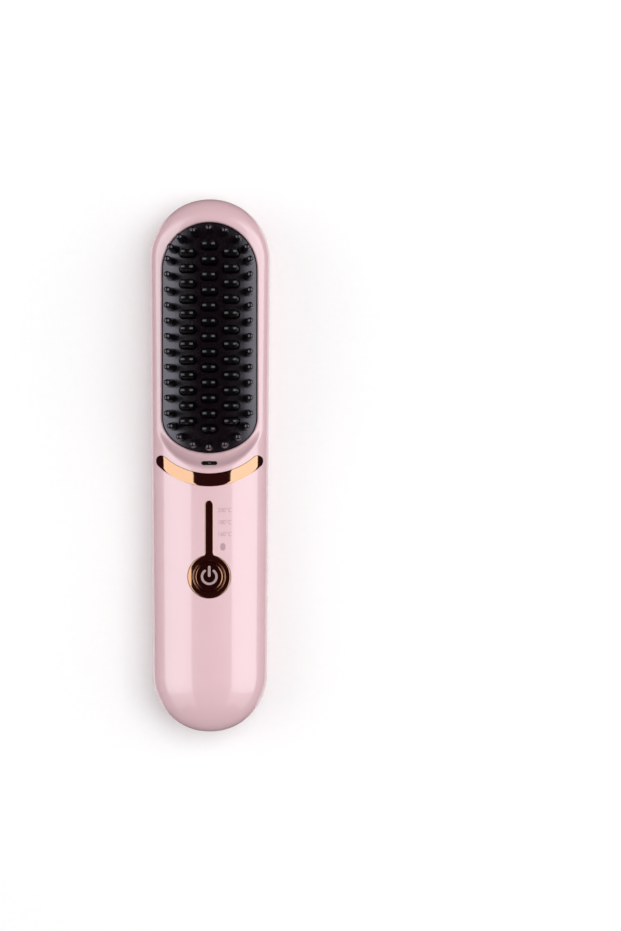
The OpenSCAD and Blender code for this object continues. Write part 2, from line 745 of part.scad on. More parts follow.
module usb_c_socket() color(steel) at_seam() translate([0, port_in + port_l - length / 2, 0]) rotate([90, 0, 0])
    difference() {
        pill(port_w - port_h, port_l, port_h / 2);
        translate([0, 0, 1.2]) pill(port_w - port_h, port_l, port_h / 2 - port_t);
    }

module usb_c_tongue() color(black) at_seam()
    translate([-3.35, port_in + 0.8 - length / 2, -0.35]) cube([6.7, port_l - 2, 0.7]);

module housing_screws() color(steel) at_seam() for (p = housing_screw_places) translate([p.x, p.y, -4]) {
    mirror([0, 0, 1]) cylinder(1.6, r = head_screw_r);
    cylinder(9, r = screw_r - 0.02);
}

module screw_plugs() color("#dcb8be") at_seam() intersection() {
    rear_body(0.2);
    for (p = housing_screw_places) translate([p.x, p.y, -5.7 - big]) cylinder(big, r = head_screw_r);
}

front_shell();
rear_shell();
crescent_trim();
control_bezel();
light_guide();
power_button();
switch_plunger();
tact_switch();
main_board();
indicator_leds();
comb_guard();
heater_plate();
heating_elements();
insulation_sheet();
clamp_plate();
heater_carrier();
heater_screws();
temperature_sensor();
thermal_fuse();
driver_board();
driver_parts();
board_screws();
ion_generator();
ion_needle();
ion_outlet();
battery_cell_left();
battery_cell_right();
battery_tray();
nickel_strips();
charge_board();
usb_c_socket();
usb_c_tongue();
housing_screws();
screw_plugs();
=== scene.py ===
"""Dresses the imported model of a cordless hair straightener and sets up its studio."""
import json
import math

import bmesh
import bpy
from mathutils import Matrix, Vector


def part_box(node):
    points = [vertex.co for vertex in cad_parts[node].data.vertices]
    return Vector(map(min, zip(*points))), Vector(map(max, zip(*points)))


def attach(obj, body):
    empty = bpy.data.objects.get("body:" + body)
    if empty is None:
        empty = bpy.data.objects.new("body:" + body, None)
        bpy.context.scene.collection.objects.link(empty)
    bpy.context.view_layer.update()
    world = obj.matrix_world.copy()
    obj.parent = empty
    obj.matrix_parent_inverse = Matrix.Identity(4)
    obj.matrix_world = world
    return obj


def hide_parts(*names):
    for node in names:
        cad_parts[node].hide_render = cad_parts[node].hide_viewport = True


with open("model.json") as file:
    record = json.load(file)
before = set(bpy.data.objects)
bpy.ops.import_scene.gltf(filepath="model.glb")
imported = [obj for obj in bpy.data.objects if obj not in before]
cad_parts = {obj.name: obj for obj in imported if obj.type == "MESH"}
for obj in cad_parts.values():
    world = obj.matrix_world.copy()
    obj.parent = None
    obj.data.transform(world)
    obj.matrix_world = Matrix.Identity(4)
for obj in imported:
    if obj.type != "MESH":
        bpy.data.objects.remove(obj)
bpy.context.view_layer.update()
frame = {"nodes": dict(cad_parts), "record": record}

bl_info = {
    "name": "Cordless hair straightener",
    "version": (1, 0, 0),
    "blender": (4, 5, 0),
    "location": "View3D > Sidebar > Straightener",
    "description": "Dresses the packed model of a cordless hair straightener",
    "category": "Object",
}

NODES = frame["nodes"]
MM = 0.001

# The front shell's tongue reaches this far down past the seam, inside the rear shell
TONGUE = 1.5 * MM
# The seam's height over the surface that the object lies on
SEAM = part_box("front_shell")[0].z + TONGUE
# Each shell ends this far from the seam's plane, which leaves the fine dark groove
SEAM_GROOVE = 0.15 * MM

# Clearances: round the bezel and the button, round the trim, and under what lies in the shell
PANEL_GAP = 0.1 * MM
TRIM_GAP = 0.12 * MM
SEAT_GAP = 0.05 * MM


def linear(code):
    """An sRGB hex code as a linear colour."""
    parts = [int(code[i:i + 2], 16) / 255 for i in (1, 3, 5)]
    return tuple(p / 12.92 if p <= 0.04045 else ((p + 0.055) / 1.055) ** 2.4 for p in parts)


def length_prop(name, description, value):
    """A size in metres, given in millimetres."""
    return bpy.props.FloatProperty(
        name=name, description=description, default=value * MM, unit="LENGTH", precision=5)


def number_prop(name, description, value):
    """A share, a steepness or a strength, which has no unit."""
    return bpy.props.FloatProperty(name=name, description=description, default=value, min=0.0)


def angle_prop(name, description, degrees):
    """An angle, given in degrees."""
    return bpy.props.FloatProperty(
        name=name, description=description, default=math.radians(degrees), subtype="ANGLE")


def colour_prop(name, description, code):
    """A colour, given as an sRGB hex code."""
    return bpy.props.FloatVectorProperty(
        name=name, description=description, default=linear(code), subtype="COLOR", min=0.0, max=1.0)


class HousingSizes(bpy.types.PropertyGroup):
    head_radius: length_prop("Head radius", "Half width of the body at the head end", 22.5)
    tail_radius: length_prop("Tail radius", "Half width of the body at the tail end", 21.4)
    head_y: length_prop("Head centre", "Where the head's round has its centre", 77.5)
    tail_y: length_prop("Tail centre", "Where the tail's round has its centre", -78.6)
    wall: length_prop("Wall", "Wall thickness of both shells", 2.0)
    front_rise: number_prop("Front rise", "Depth of the front half as a share of its half width", 0.66)
    rear_rise: number_prop("Rear rise", "Depth of the rear half as a share of its half width", 0.685)


class HeadSizes(bpy.types.PropertyGroup):
    face_top: length_prop("Face height", "Height of the head's face over the seam, along its middle", 10.4)
    face_radius: length_prop("Face radius", "Radius of the wide cylinder that the head's face follows", 53.4)
    slope: number_prop("Slope", "Rise of the cone below the opening for each step outwards", 1.3)
    slope_radius: length_prop("Slope radius", "How far from its axis the cone is as high as the face", 31.7)
    slope_y: length_prop("Slope centre", "Where the cone below the opening has its axis", 33.7)
    ridge: length_prop("Ridge softness", "Width over which the edges of the head's face are rounded", 1.0)
    valley: length_prop("Valley softness", "Width over which the face blends into the slope", 2.2)
    rim: length_prop("Opening rim", "Radius of the rounded rim of the head opening", 0.7)
    opening_radius: length_prop("Opening radius", "Half width of the head opening", 17.8)
    opening_top: length_prop("Opening top", "Where the opening's upper round has its centre", 73.0)
    opening_low: length_prop("Opening low end", "Where the bow of the opening's lower end begins", 17.9)
    opening_bow: length_prop("Opening bow", "How far the opening's lower end bows out", 13.2)


class PanelSizes(bpy.types.PropertyGroup):
    button_y: length_prop("Button place", "Where the power button has its centre", -41.35)
    button_radius: length_prop("Button radius", "Radius of the power button", 5.85)
    button_dish: length_prop("Button dish radius", "Radius of the sunk disc of the power button", 4.95)
    button_sink: length_prop("Button sink", "How far the button's top lies under the crown", 0.7)
    button_foot: length_prop("Button foot", "How far the button's foot lies under the crown", 3.3)
    flange_radius: length_prop("Flange radius", "Radius of the flange at the button's foot", 6.7)
    ring_radius: length_prop("Ring radius", "Outer radius of the bezel's ring", 8.05)
    ring_depth: length_prop("Ring depth", "How far the ring's foot lies under the crown", 2.7)
    stem_width: length_prop("Stem width", "Width of the indicator strip", 3.2)
    stem_depth: length_prop("Stem depth", "Thickness of the indicator strip", 1.0)
    neck_radius: length_prop("Neck radius", "Radius of the fillets where the strip meets the ring", 1.5)
    stem_top: length_prop("Stem top", "Where the indicator strip ends", -13.1)
    symbol_radius: length_prop("Symbol radius", "Outer radius of the power symbol", 3.15)
    symbol_line: length_prop("Symbol line", "Line width of the power symbol", 0.9)
    outlet_y: length_prop("Outlet place", "Where the ion outlet has its middle", 0.9)
    outlet_half: length_prop("Outlet half length", "From its middle to the centre of its round end", 2.15)
    outlet_radius: length_prop("Outlet radius", "Radius of the outlet's round ends", 0.85)


class TrimSizes(bpy.types.PropertyGroup):
    upper_radius: length_prop("Upper radius", "Radius of the arc trim's upper edge", 25.2)
    lower_radius: length_prop("Lower radius", "Radius of the arc trim's lower edge", 28.3)
    upper_y: length_prop("Upper edge", "Where the arc trim's upper edge crosses the middle", -2.9)
    lower_y: length_prop("Lower edge", "Where the arc trim's lower edge crosses the middle", -7.8)
    turn: angle_prop("Turn", "From the middle to the centre of the trim's round end", 42)
    thickness: length_prop("Thickness", "Thickness of the arc trim", 0.9)
    edge: length_prop("Edge", "Radius of the trim's soft edges", 0.28)
    proud: length_prop("Proud", "How far the arc trim stands proud of the shell", 0.1)
    crown: length_prop("Crown", "How much further the arc trim's middle stands proud", 0.22)
    crown_reach: length_prop("Crown reach", "Half length over which the middle stands prouder", 11.0)


class LanyardSizes(bpy.types.PropertyGroup):
    slot_y: length_prop("Slot place", "Where the lanyard slot has its middle", -88.7)
    slot_z: length_prop("Slot height", "Height of the slot's middle over the seam", -9.5)
    slot_turn: angle_prop("Slot turn", "How far the slot is turned on the skin", 60)
    slot_half: length_prop("Slot half length", "From the slot's middle to the centre of its round end", 1.4)
    slot_radius: length_prop("Slot radius", "Radius of the slot's round ends", 1.0)
    slot_depth: length_prop("Slot depth", "From the skin to the bottom of the slot", 3.0)
    rim: length_prop("Slot rim", "Radius of the slot's rounded rim", 0.3)
    bar_radius: length_prop("Bar radius", "Radius of the bar across the slot", 0.6)
    bar_depth: length_prop("Bar depth", "From the skin to the middle of the bar", 1.4)


class PrintSizes(bpy.types.PropertyGroup):
    left: length_prop("Left edge", "Where the printed numbers begin", 3.15)
    size: length_prop("Size", "Type size of the printed numbers", 2.26)
    narrow: number_prop("Narrowness", "Width of the numbers as a share of the normal width", 0.88)
    sign_x: length_prop("Battery sign", "Where the battery sign has its middle", 5.1)
    sign_low: length_prop("Sign, lower centre", "Centre of the sign's lower round end", -30.7)
    sign_top: length_prop("Sign, upper centre", "Centre of the sign's upper round end", -29.8)
    sign_half: length_prop("Sign half width", "Half width of the battery sign", 0.95)
    film: length_prop("Film", "Thickness of the print", 0.02)


class FinishColours(bpy.types.PropertyGroup):
    shell_deep: colour_prop("Shell, deep", "Pink of the shell where it is deepest", "#e2bcc3")
    shell_pale: colour_prop("Shell, pale", "Pink of the shell where it is palest", "#e6c2c8")
    plug_deep: colour_prop("Plugs, deep", "Pink of the screw plugs where it is deepest", "#dcb4bc")
    plug_pale: colour_prop("Plugs, pale", "Pink of the screw plugs where it is palest", "#e0bac1")
    trim_deep: colour_prop("Trim, deep", "Rose gold of the arc trim where it is deepest", "#ab8268")
    trim_pale: colour_prop("Trim, pale", "Rose gold of the arc trim where it is palest", "#b1886e")
    bezel_deep: colour_prop("Bezel, deep", "Rose gold of the bezel where it is deepest", "#a67a5f")
    bezel_pale: colour_prop("Bezel, pale", "Rose gold of the bezel where it is palest", "#ad8166")
    button_deep: colour_prop("Button, deep", "Brown gold of the button where it is deepest", "#96684f")
    button_pale: colour_prop("Button, pale", "Brown gold of the button where it is palest", "#9e7058")
    guard_deep: colour_prop("Guard, deep", "Black of the comb guard where it is deepest", "#09090c")
    guard_pale: colour_prop("Guard, pale", "Black of the comb guard where it is palest", "#0e0e12")
    blade_deep: colour_prop("Blades, deep", "Black of the blades where it is deepest", "#070708")
    blade_pale: colour_prop("Blades, pale", "Black of the blades where it is palest", "#0b0b0d")
    symbol_deep: colour_prop("Symbol, deep", "Grey of the power symbol where it is deepest", "#a58f8e")
    symbol_pale: colour_prop("Symbol, pale", "Grey of the power symbol where it is palest", "#ad9796")
    print_deep: colour_prop("Print, deep", "Grey of the prints where it is deepest", "#b3929a")
    print_pale: colour_prop("Print, pale", "Grey of the prints where it is palest", "#b9999f")


class StageSettings(bpy.types.PropertyGroup):
    camera_distance: length_prop("Camera distance", "From the seam's plane up to the camera", 1300)
    frame_height: length_prop("Frame height", "Height of the picture in the seam's plane", 350)
    right_light: number_prop("Right light", "Brightness of the right softbox", 1.4)
    left_light: number_prop("Left light", "Brightness of the left softbox", 1.22)
    right_share: number_prop("Right share", "Share of the right softbox that lights matt surfaces", 0.33)
    left_share: number_prop("Left share", "Share of the left softbox that lights matt surfaces", 0.56)
    overhead_light: number_prop("Overhead light", "Brightness of the soft light above", 2.45)
    sky_light: number_prop("Sky light", "Strength of the even light from all round", 0.47)
    sheen_colour: colour_prop("Sheen colour", "Colour of the softboxes where they are mirrored", "#ecffff")
    card_glow_colour: colour_prop("Card colour", "What the dark cards give back to polished metal", "#3d2029")


def only(*objects):
    """Goes to object mode with just these objects selected and the first one active."""
    if bpy.context.mode != "OBJECT":
        bpy.ops.object.mode_set(mode="OBJECT")
    bpy.ops.object.select_all(action="DESELECT")
    for obj in objects:
        obj.select_set(True)
    bpy.context.view_layer.objects.active = objects[0]
    return objects[0]


def settle(name):
    """Names the primitive that was just added and puts its place and turn into its mesh."""
    obj = only(bpy.context.active_object)
    obj.name = obj.data.name = name
    bpy.ops.object.transform_apply(location=True, rotation=True, scale=True)
    return obj


def choose(obj, kind, test):
    """In edit mode, selects just those of obj's verts, edges or faces that pass the test."""
    bpy.ops.mesh.select_mode(type={"verts": "VERT", "edges": "EDGE", "faces": "FACE"}[kind])
    bpy.ops.mesh.select_all(action="DESELECT")
    work = bmesh.from_edit_mesh(obj.data)
    for element in getattr(work, kind):
        element.select_set(bool(test(element)))
    work.select_flush_mode()
    bmesh.update_edit_mesh(obj.data)


def use(obj, kind, **settings):
    """Adds a modifier with its settings and applies it."""
    only(obj)
    modifier = obj.modifiers.new(kind.title(), kind)
    for name, value in settings.items():
        setattr(modifier, name, value)
    bpy.ops.object.modifier_apply(modifier=modifier.name)
    if not obj.data.polygons:
        raise RuntimeError(obj.name + " has no faces left after " + kind.lower())
    return obj


def carve(obj, tool, operation="DIFFERENCE"):
    """Cuts the tool out of obj, or joins the two, and throws the tool away."""
    use(obj, "BOOLEAN", object=tool, operation=operation, solver="EXACT")
    only(tool)
    bpy.ops.object.delete()
    return only(obj)


def close_up(obj):
    """Merges doubles and turns all faces outwards."""
    only(obj)
    bpy.ops.object.mode_set(mode="EDIT")
    bpy.ops.mesh.select_all(action="SELECT")
    bpy.ops.mesh.remove_doubles(threshold=0.002 * MM)
    bpy.ops.mesh.normals_make_consistent(inside=False)
    bpy.ops.object.mode_set(mode="OBJECT")
    return obj


def outward(obj, middle):
    """Turns the faces of an open skin away from a point inside it."""
    only(obj)
    inwards = sum(1 if face.normal.dot(face.center - middle) < 0 else -1 for face in obj.data.polygons) > 0
    if inwards:
        bpy.ops.object.mode_set(mode="EDIT")
        bpy.ops.mesh.select_all(action="SELECT")
        bpy.ops.mesh.flip_normals()
        bpy.ops.object.mode_set(mode="OBJECT")
    return obj


def form(obj, place):
    """Moves every vertex to where place(x, y, z) says."""
    for vertex in obj.data.vertices:
        vertex.co = place(*vertex.co)
    obj.data.update()
    return obj


def lift(obj):
    """Moves a piece that was made over the seam's plane up to its place in the object."""
    return form(obj, lambda x, y, z: (x, y, z + SEAM))


def place_in_ring(vertex, count):
    """Which point of a circle of count points a vertex is, from the +X direction on anticlockwise."""
    return round((math.atan2(vertex.co.y, vertex.co.x) % (2 * math.pi)) / (2 * math.pi / count)) % count


def drum(name, rings):
    """A tube of rings with a cap at each end: a filled circle, extruded once for each further ring, and then
    every point put at its place."""
    count = len(rings[0])
    bpy.ops.mesh.primitive_circle_add(vertices=count, radius=1, fill_type="NGON")
    obj = settle(name)
    bpy.ops.object.mode_set(mode="EDIT")
    bpy.ops.mesh.select_all(action="SELECT")
    for _ in rings[1:]:
        bpy.ops.mesh.extrude_region_move(TRANSFORM_OT_translate={"value": (0, 0, 1)})
    bpy.ops.object.mode_set(mode="OBJECT")
    for vertex in obj.data.vertices:
        vertex.co = rings[round(vertex.co.z)][place_in_ring(vertex, count)]
    return close_up(obj)


def quarter(steps):
    """The angles of a quarter turn in even steps."""
    return [math.pi / 2 * i / steps for i in range(steps + 1)]


def bar(name, stations, low, high, edge=0.0, across=8):
    """A bar along stations of (x, y, across x, across y, half width), from the low to the high surface, with
    its upper edges rounded."""
    rings = []
    for x, y, nx, ny, half in stations:
        round_off = min(edge, half * 0.9)
        turns = quarter(4) if edge else [math.pi / 2]
        side = [(half - round_off * (1 - math.cos(t)), round_off * (1 - math.sin(t))) for t in turns]
        flat = half - round_off
        top = [(-s, drop) for s, drop in side]
        top += [(flat * (2 * i / across - 1), 0) for i in range(1, across)]
        top += side[::-1]
        ring = [Vector((x + s * nx, y + s * ny, high(x + s * nx, y + s * ny) - drop)) for s, drop in top]
        for i in range(across + 1):
            s = half * (1 - 2 * i / across)
            ring.append(Vector((x + s * nx, y + s * ny, low(x + s * nx, y + s * ny))))
        rings.append(ring)
    return drum(name, rings)


def round_drum(name, profile, y, x=0.0, count=96):
    """A turned piece: a drum of round rings, given as (radius, height) from one end to the other."""
    turns = [2 * math.pi * i / count for i in range(count)]
    rings = [[Vector((x + r * math.cos(t), y + r * math.sin(t), z)) for t in turns] for r, z in profile]
    return drum(name, rings)


def turned_ring(name, section, y, steps=96):
    """A closed section of (radius, height) points, spun a full turn about an upright axis."""
    bpy.ops.mesh.primitive_circle_add(vertices=len(section), radius=1)
    obj = settle(name)
    for vertex in obj.data.vertices:
        r, z = section[place_in_ring(vertex, len(section))]
        vertex.co = (r, y, z)
    bpy.ops.object.mode_set(mode="EDIT")
    bpy.ops.mesh.select_all(action="SELECT")
    bpy.ops.mesh.spin(steps=steps, angle=2 * math.pi, center=(0, y, 0), axis=(0, 0, 1))
    return close_up(obj)


# A round end of a bar stops just short of its tip, so that its last station keeps a width
TIP = 0.985


def cap_turns(steps=7):
    """The angles of a round end, from just past its widest place to its tip."""
    return [math.pi / 2 * i / steps * TIP for i in range(1, steps + 1)]


def arc_stations(x, y, radius, half, start, end, count):
    """Stations along an arc, with a round at each end: angles in radians from the +X direction."""
    def station(a, ahead=0.0, share=1.0):
        nx, ny = math.cos(a), math.sin(a)
        return x + radius * nx - half * ahead * ny, y + radius * ny + half * ahead * nx, nx, ny, half * share

    first = [station(start, -math.sin(b), math.cos(b)) for b in cap_turns()]
    middle = [station(start + (end - start) * i / count) for i in range(count + 1)]
    last = [station(end, math.sin(b), math.cos(b)) for b in cap_turns()]
    return first[::-1] + middle + last


def straight_stations(start, end, half, count, round_start=True):
    """Stations along a straight line, with a round at its end and, if asked, at its start."""
    length = math.hypot(end[0] - start[0], end[1] - start[1])
    dx, dy = (end[0] - start[0]) / length, (end[1] - start[1]) / length

    def station(place, share=1.0):
        return start[0] + dx * place, start[1] + dy * place, dy, -dx, half * share

    first = [station(-half * math.sin(b), math.cos(b)) for b in cap_turns()] if round_start else []
    middle = [station(length * i / count) for i in range(count + 1)]
    last = [station(length + half * math.sin(b), math.cos(b)) for b in cap_turns()]
    return first[::-1] + middle + last


def pill_points(half_length, radius, steps):
    """Points round a slot with round ends, as (along, across) from its middle."""
    points = []
    for side, start in ((1, -90), (-1, 90)):
        for i in range(steps + 1):
            a = math.radians(start + 180 * i / steps)
            points.append((side * half_length + radius * math.cos(a), radius * math.sin(a)))
    return points


def place_piece(obj, finish, body="root", replaced=(), angle=30):
    """Gives a piece its finish, its smooth and sharp edges and its body, and hides the CAD nodes that it
    stands for.
    """
    only(obj)
    bpy.ops.object.shade_smooth_by_angle(angle=math.radians(angle))
    obj.data.materials.clear()
    obj.data.materials.append(finish)
    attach(obj, body)
    if replaced:
        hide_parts(*replaced)
    return obj


def smooth_min(a, b, k):
    """The smaller of two heights, with the corner between them rounded over k."""
    h = max(k - abs(a - b), 0.0) / k
    return min(a, b) - h * h * k / 4


def smooth_max(a, b, k):
    """The larger of two heights, with the corner between them rounded over k."""
    return -smooth_min(-a, -b, k)


def half_width(y, inset=0.0):
    """Half width of the body seen from the front, or of the same outline set in."""
    size = bpy.context.scene.housing_sizes
    head, tail = size.head_radius - inset, size.tail_radius - inset
    if y > size.head_y:
        return math.sqrt(max(head ** 2 - (y - size.head_y) ** 2, 0))
    if y < size.tail_y:
        return math.sqrt(max(tail ** 2 - (y - size.tail_y) ** 2, 0))
    return head + (tail - head) * (size.head_y - y) / (size.head_y - size.tail_y)


def body_outline(inset, height, count=48):
    """Points round the body's outline seen from the front, set in, at a height."""
    size = bpy.context.scene.housing_sizes
    head, tail = size.head_radius - inset, size.tail_radius - inset
    arc = [math.pi * i / count for i in range(count + 1)]
    points = [(head * math.cos(a), size.head_y + head * math.sin(a)) for a in arc]
    points += [(-tail * math.cos(a), size.tail_y - tail * math.sin(a)) for a in arc]
    return [Vector((x, y, height)) for x, y in points]


def skin_height(x, y, inset=0.0):
    """Height over the seam of the front's skin, before the face is pressed in, or of that skin set in."""
    size = bpy.context.scene.housing_sizes
    share = (size.front_rise * size.head_radius - inset) / (size.head_radius - inset)
    return share * math.sqrt(max(half_width(y, inset) ** 2 - x * x, 0))


def skin_at(inset):
    """The front's skin as a surface, set in."""
    return lambda x, y: skin_height(x, y, inset)


def over_skin(rise):
    """A surface that lies over the front's skin by the same height all over."""
    return lambda x, y: skin_height(x, y) + rise


def face_height(x, y):
    """Height over the seam of the head's face, a wide cylinder, or of the cone-shaped slope that bends round
    the opening's lower end."""
    head = bpy.context.scene.head_sizes
    face = head.face_top - head.face_radius + math.sqrt(head.face_radius ** 2 - x * x)
    out = math.hypot(x, y - head.slope_y) if y < head.slope_y else abs(x)
    return smooth_max(face, head.face_top + (out - head.slope_radius) * head.slope, head.valley)


def front_height(x, y):
    """Height over the seam of the whole front."""
    return smooth_min(skin_height(x, y), face_height(x, y), bpy.context.scene.head_sizes.ridge)


def stretch(start, end, step):
    """Places from just after start to end, about a step apart."""
    count = max(round(abs(end - start) / step), 1)
    return [start + (end - start) * (i + 1) / count for i in range(count)]


def spun_skin(name, stops, side):
    """Half of the body's skin, still round: the head's arc, drawn on along the side and round the tail, and
    spun half a turn about the body's long axis."""
    size = bpy.context.scene.housing_sizes
    bpy.ops.mesh.primitive_circle_add(vertices=160, radius=size.head_radius, location=(0, size.head_y, 0))
    obj = settle(name)
    bpy.ops.object.mode_set(mode="EDIT")
    tiny = 0.001 * MM
    choose(obj, "verts", lambda v: v.co.x < -tiny or v.co.y < size.head_y - tiny)
    bpy.ops.mesh.delete(type="VERT")
    choose(obj, "verts", lambda v: abs(v.co.y - size.head_y) < tiny)
    places = [Vector((half_width(y), y, 0)) for y in stops]
    places += [Vector((size.tail_radius * math.cos(t), size.tail_y - size.tail_radius * math.sin(t), 0))
               for t in quarter(40)[1:]]
    last = Vector((size.head_radius, size.head_y, 0))
    for place in places:
        bpy.ops.mesh.extrude_region_move(TRANSFORM_OT_translate={"value": place - last})
        last = place
    bpy.ops.mesh.select_all(action="SELECT")
    bpy.ops.mesh.spin(steps=144, angle=math.pi, center=(0, 0, 0), axis=(0, side, 0))
    return close_up(obj)


def thicken(obj, side):
    """Cuts an open skin level just off the seam, on its own side of it, and gives it its wall inwards."""
    only(obj)
    bpy.ops.object.mode_set(mode="EDIT")
    bpy.ops.mesh.select_all(action="SELECT")
    bpy.ops.mesh.bisect(plane_co=(0, 0, side * SEAM_GROOVE), plane_no=(0, 0, side), clear_inner=True)
    bpy.ops.object.mode_set(mode="OBJECT")
    outward(obj, Vector((0, 0, -side * 5 * MM)))
    return use(obj, "SOLIDIFY", thickness=bpy.context.scene.housing_sizes.wall, offset=-1)


def add_node(tree, kind, sockets=None, **settings):
    """Adds a node: settings are its own, and each socket takes a value or another node's output."""
    made = tree.nodes.new(kind)
    for name, value in settings.items():
        setattr(made, name, value)
    for name, value in (sockets or {}).items():
        if isinstance(value, bpy.types.NodeSocket):
            tree.links.new(value, made.inputs[name])
        else:
            made.inputs[name].default_value = value
    return made


def new_finish(name):
    """An empty material, with its node tree and the object's own coordinates."""
    finish = bpy.data.materials.new(name)
    finish.use_nodes = True
    tree = finish.node_tree
    tree.nodes.clear()
    return finish, tree, add_node(tree, "ShaderNodeTexCoord").outputs["Object"]


def show(tree, shader):
    """Makes a shader what the material shows."""
    add_node(tree, "ShaderNodeOutputMaterial", {"Surface": shader.outputs[0]})


def mottled(name, deep, pale, grain_mm, rough_low, rough_high, bump_mm=0.0, grain_bump_mm=0.5, **principled):
    """A finish whose colour and roughness drift over a grain of real size, with a fine bump."""
    finish, tree, place = new_finish(name)
    noise = add_node(tree, "ShaderNodeTexNoise", {
        "Vector": place, "Scale": 1 / (grain_mm * MM), "Detail": 3.0, "Roughness": 0.55})
    colour = add_node(tree, "ShaderNodeMix", {
        "Factor": noise.outputs["Fac"], "A": (*deep, 1), "B": (*pale, 1)}, data_type="RGBA")
    # The noise keeps mostly between 0.3 and 0.7, so this part of it gets the whole span of roughness
    rough = add_node(tree, "ShaderNodeMapRange", {
        "Value": noise.outputs["Fac"], "From Min": 0.3, "From Max": 0.7,
        "To Min": rough_low, "To Max": rough_high})
    sockets = {"Base Color": colour.outputs["Result"], "Roughness": rough.outputs["Result"]}
    sockets.update({key.replace("_", " "): value for key, value in principled.items()})
    if bump_mm:
        fine = add_node(tree, "ShaderNodeTexNoise", {
            "Vector": place, "Scale": 1 / (grain_bump_mm * MM), "Detail": 2.0})
        sockets["Normal"] = add_node(tree, "ShaderNodeBump", {
            "Height": fine.outputs["Fac"], "Strength": 1.0, "Distance": bump_mm * MM}).outputs["Normal"]
    show(tree, add_node(tree, "ShaderNodeBsdfPrincipled", sockets))
    return finish


FINISHES = {}

# Small and inner parts, by slot: the real material, its deep and pale colour, and its roughness. Each is
# moulded, rolled or wrapped, so it drifts a little in colour over 3 mm and has a fine grain. That grain is
# finer than a pixel of the picture on the real parts, and is drawn 0.4 mm wide so that it shows.
SMALL_FINISHES = {
    # Milky white, which spreads the lamps' light along the strip
    "clear_guide": ("Diffusing polycarbonate", "#e8e8e4", "#f0f0ec", 0.35),
    # Soft black with a dull shine, so that the outlet and the port's inside stay dark
    "black_plastic": ("Moulded ABS, black", "#151517", "#1b1b1e", 0.4),
    # A cool, slightly dull silver
    "tin_steel": ("Tinned steel", "#b9b9bd", "#c4c4c8", 0.3),
    # Deep green under a glossy lacquer
    "circuit_board": ("Glass epoxy board, green mask", "#15532f", "#1b6339", 0.35),
    # Warm white with a dull shine
    "lamp_body": ("Lamp body, white", "#e6e6de", "#efefe8", 0.4),
    # Chalky cream, nearly without shine
    "ceramic": ("Alumina ceramic", "#c4b08c", "#cdb996", 0.6),
    # Amber with the clear shine of a film
    "insulating_film": ("Polyimide film", "#a9772e", "#b58338", 0.3),
    # A cool, satin silver
    "aluminium_sheet": ("Rolled aluminium sheet", "#b4b6ba", "#c0c2c6", 0.35),
    # Dark grey and dull, as a glass-filled plastic is
    "carrier_plastic": ("Moulded PPS, dark grey", "#35353a", "#3c3c42", 0.5),
    # Grey silver with a soft shine
    "screw_steel": ("Nickel plated screw steel", "#a9a9ad", "#b7b7bb", 0.3),
    # Amber and glossy
    "sensor_glass": ("Glass bead", "#c9b064", "#d4bc72", 0.15),
    # Dull charcoal
    "chip_black": ("Epoxy moulding compound", "#232326", "#2b2b2f", 0.55),
    # Dull blue black
    "module_plastic": ("Potted module, dark blue", "#2a2e3c", "#323748", 0.5),
    # Mid blue with the shine of a tight film
    "cell_wrap": ("Heat-shrink sleeve, blue", "#35699a", "#3c73a6", 0.3),
    # Neutral dark grey and dull
    "tray_plastic": ("Moulded ABS, grey", "#3c3c44", "#44444d", 0.5),
    # A warm, slightly dull silver
    "nickel": ("Nickel strip", "#b4b2aa", "#c2c0b8", 0.3),
}
SMALL_METALS = {"tin_steel", "aluminium_sheet", "screw_steel", "nickel"}


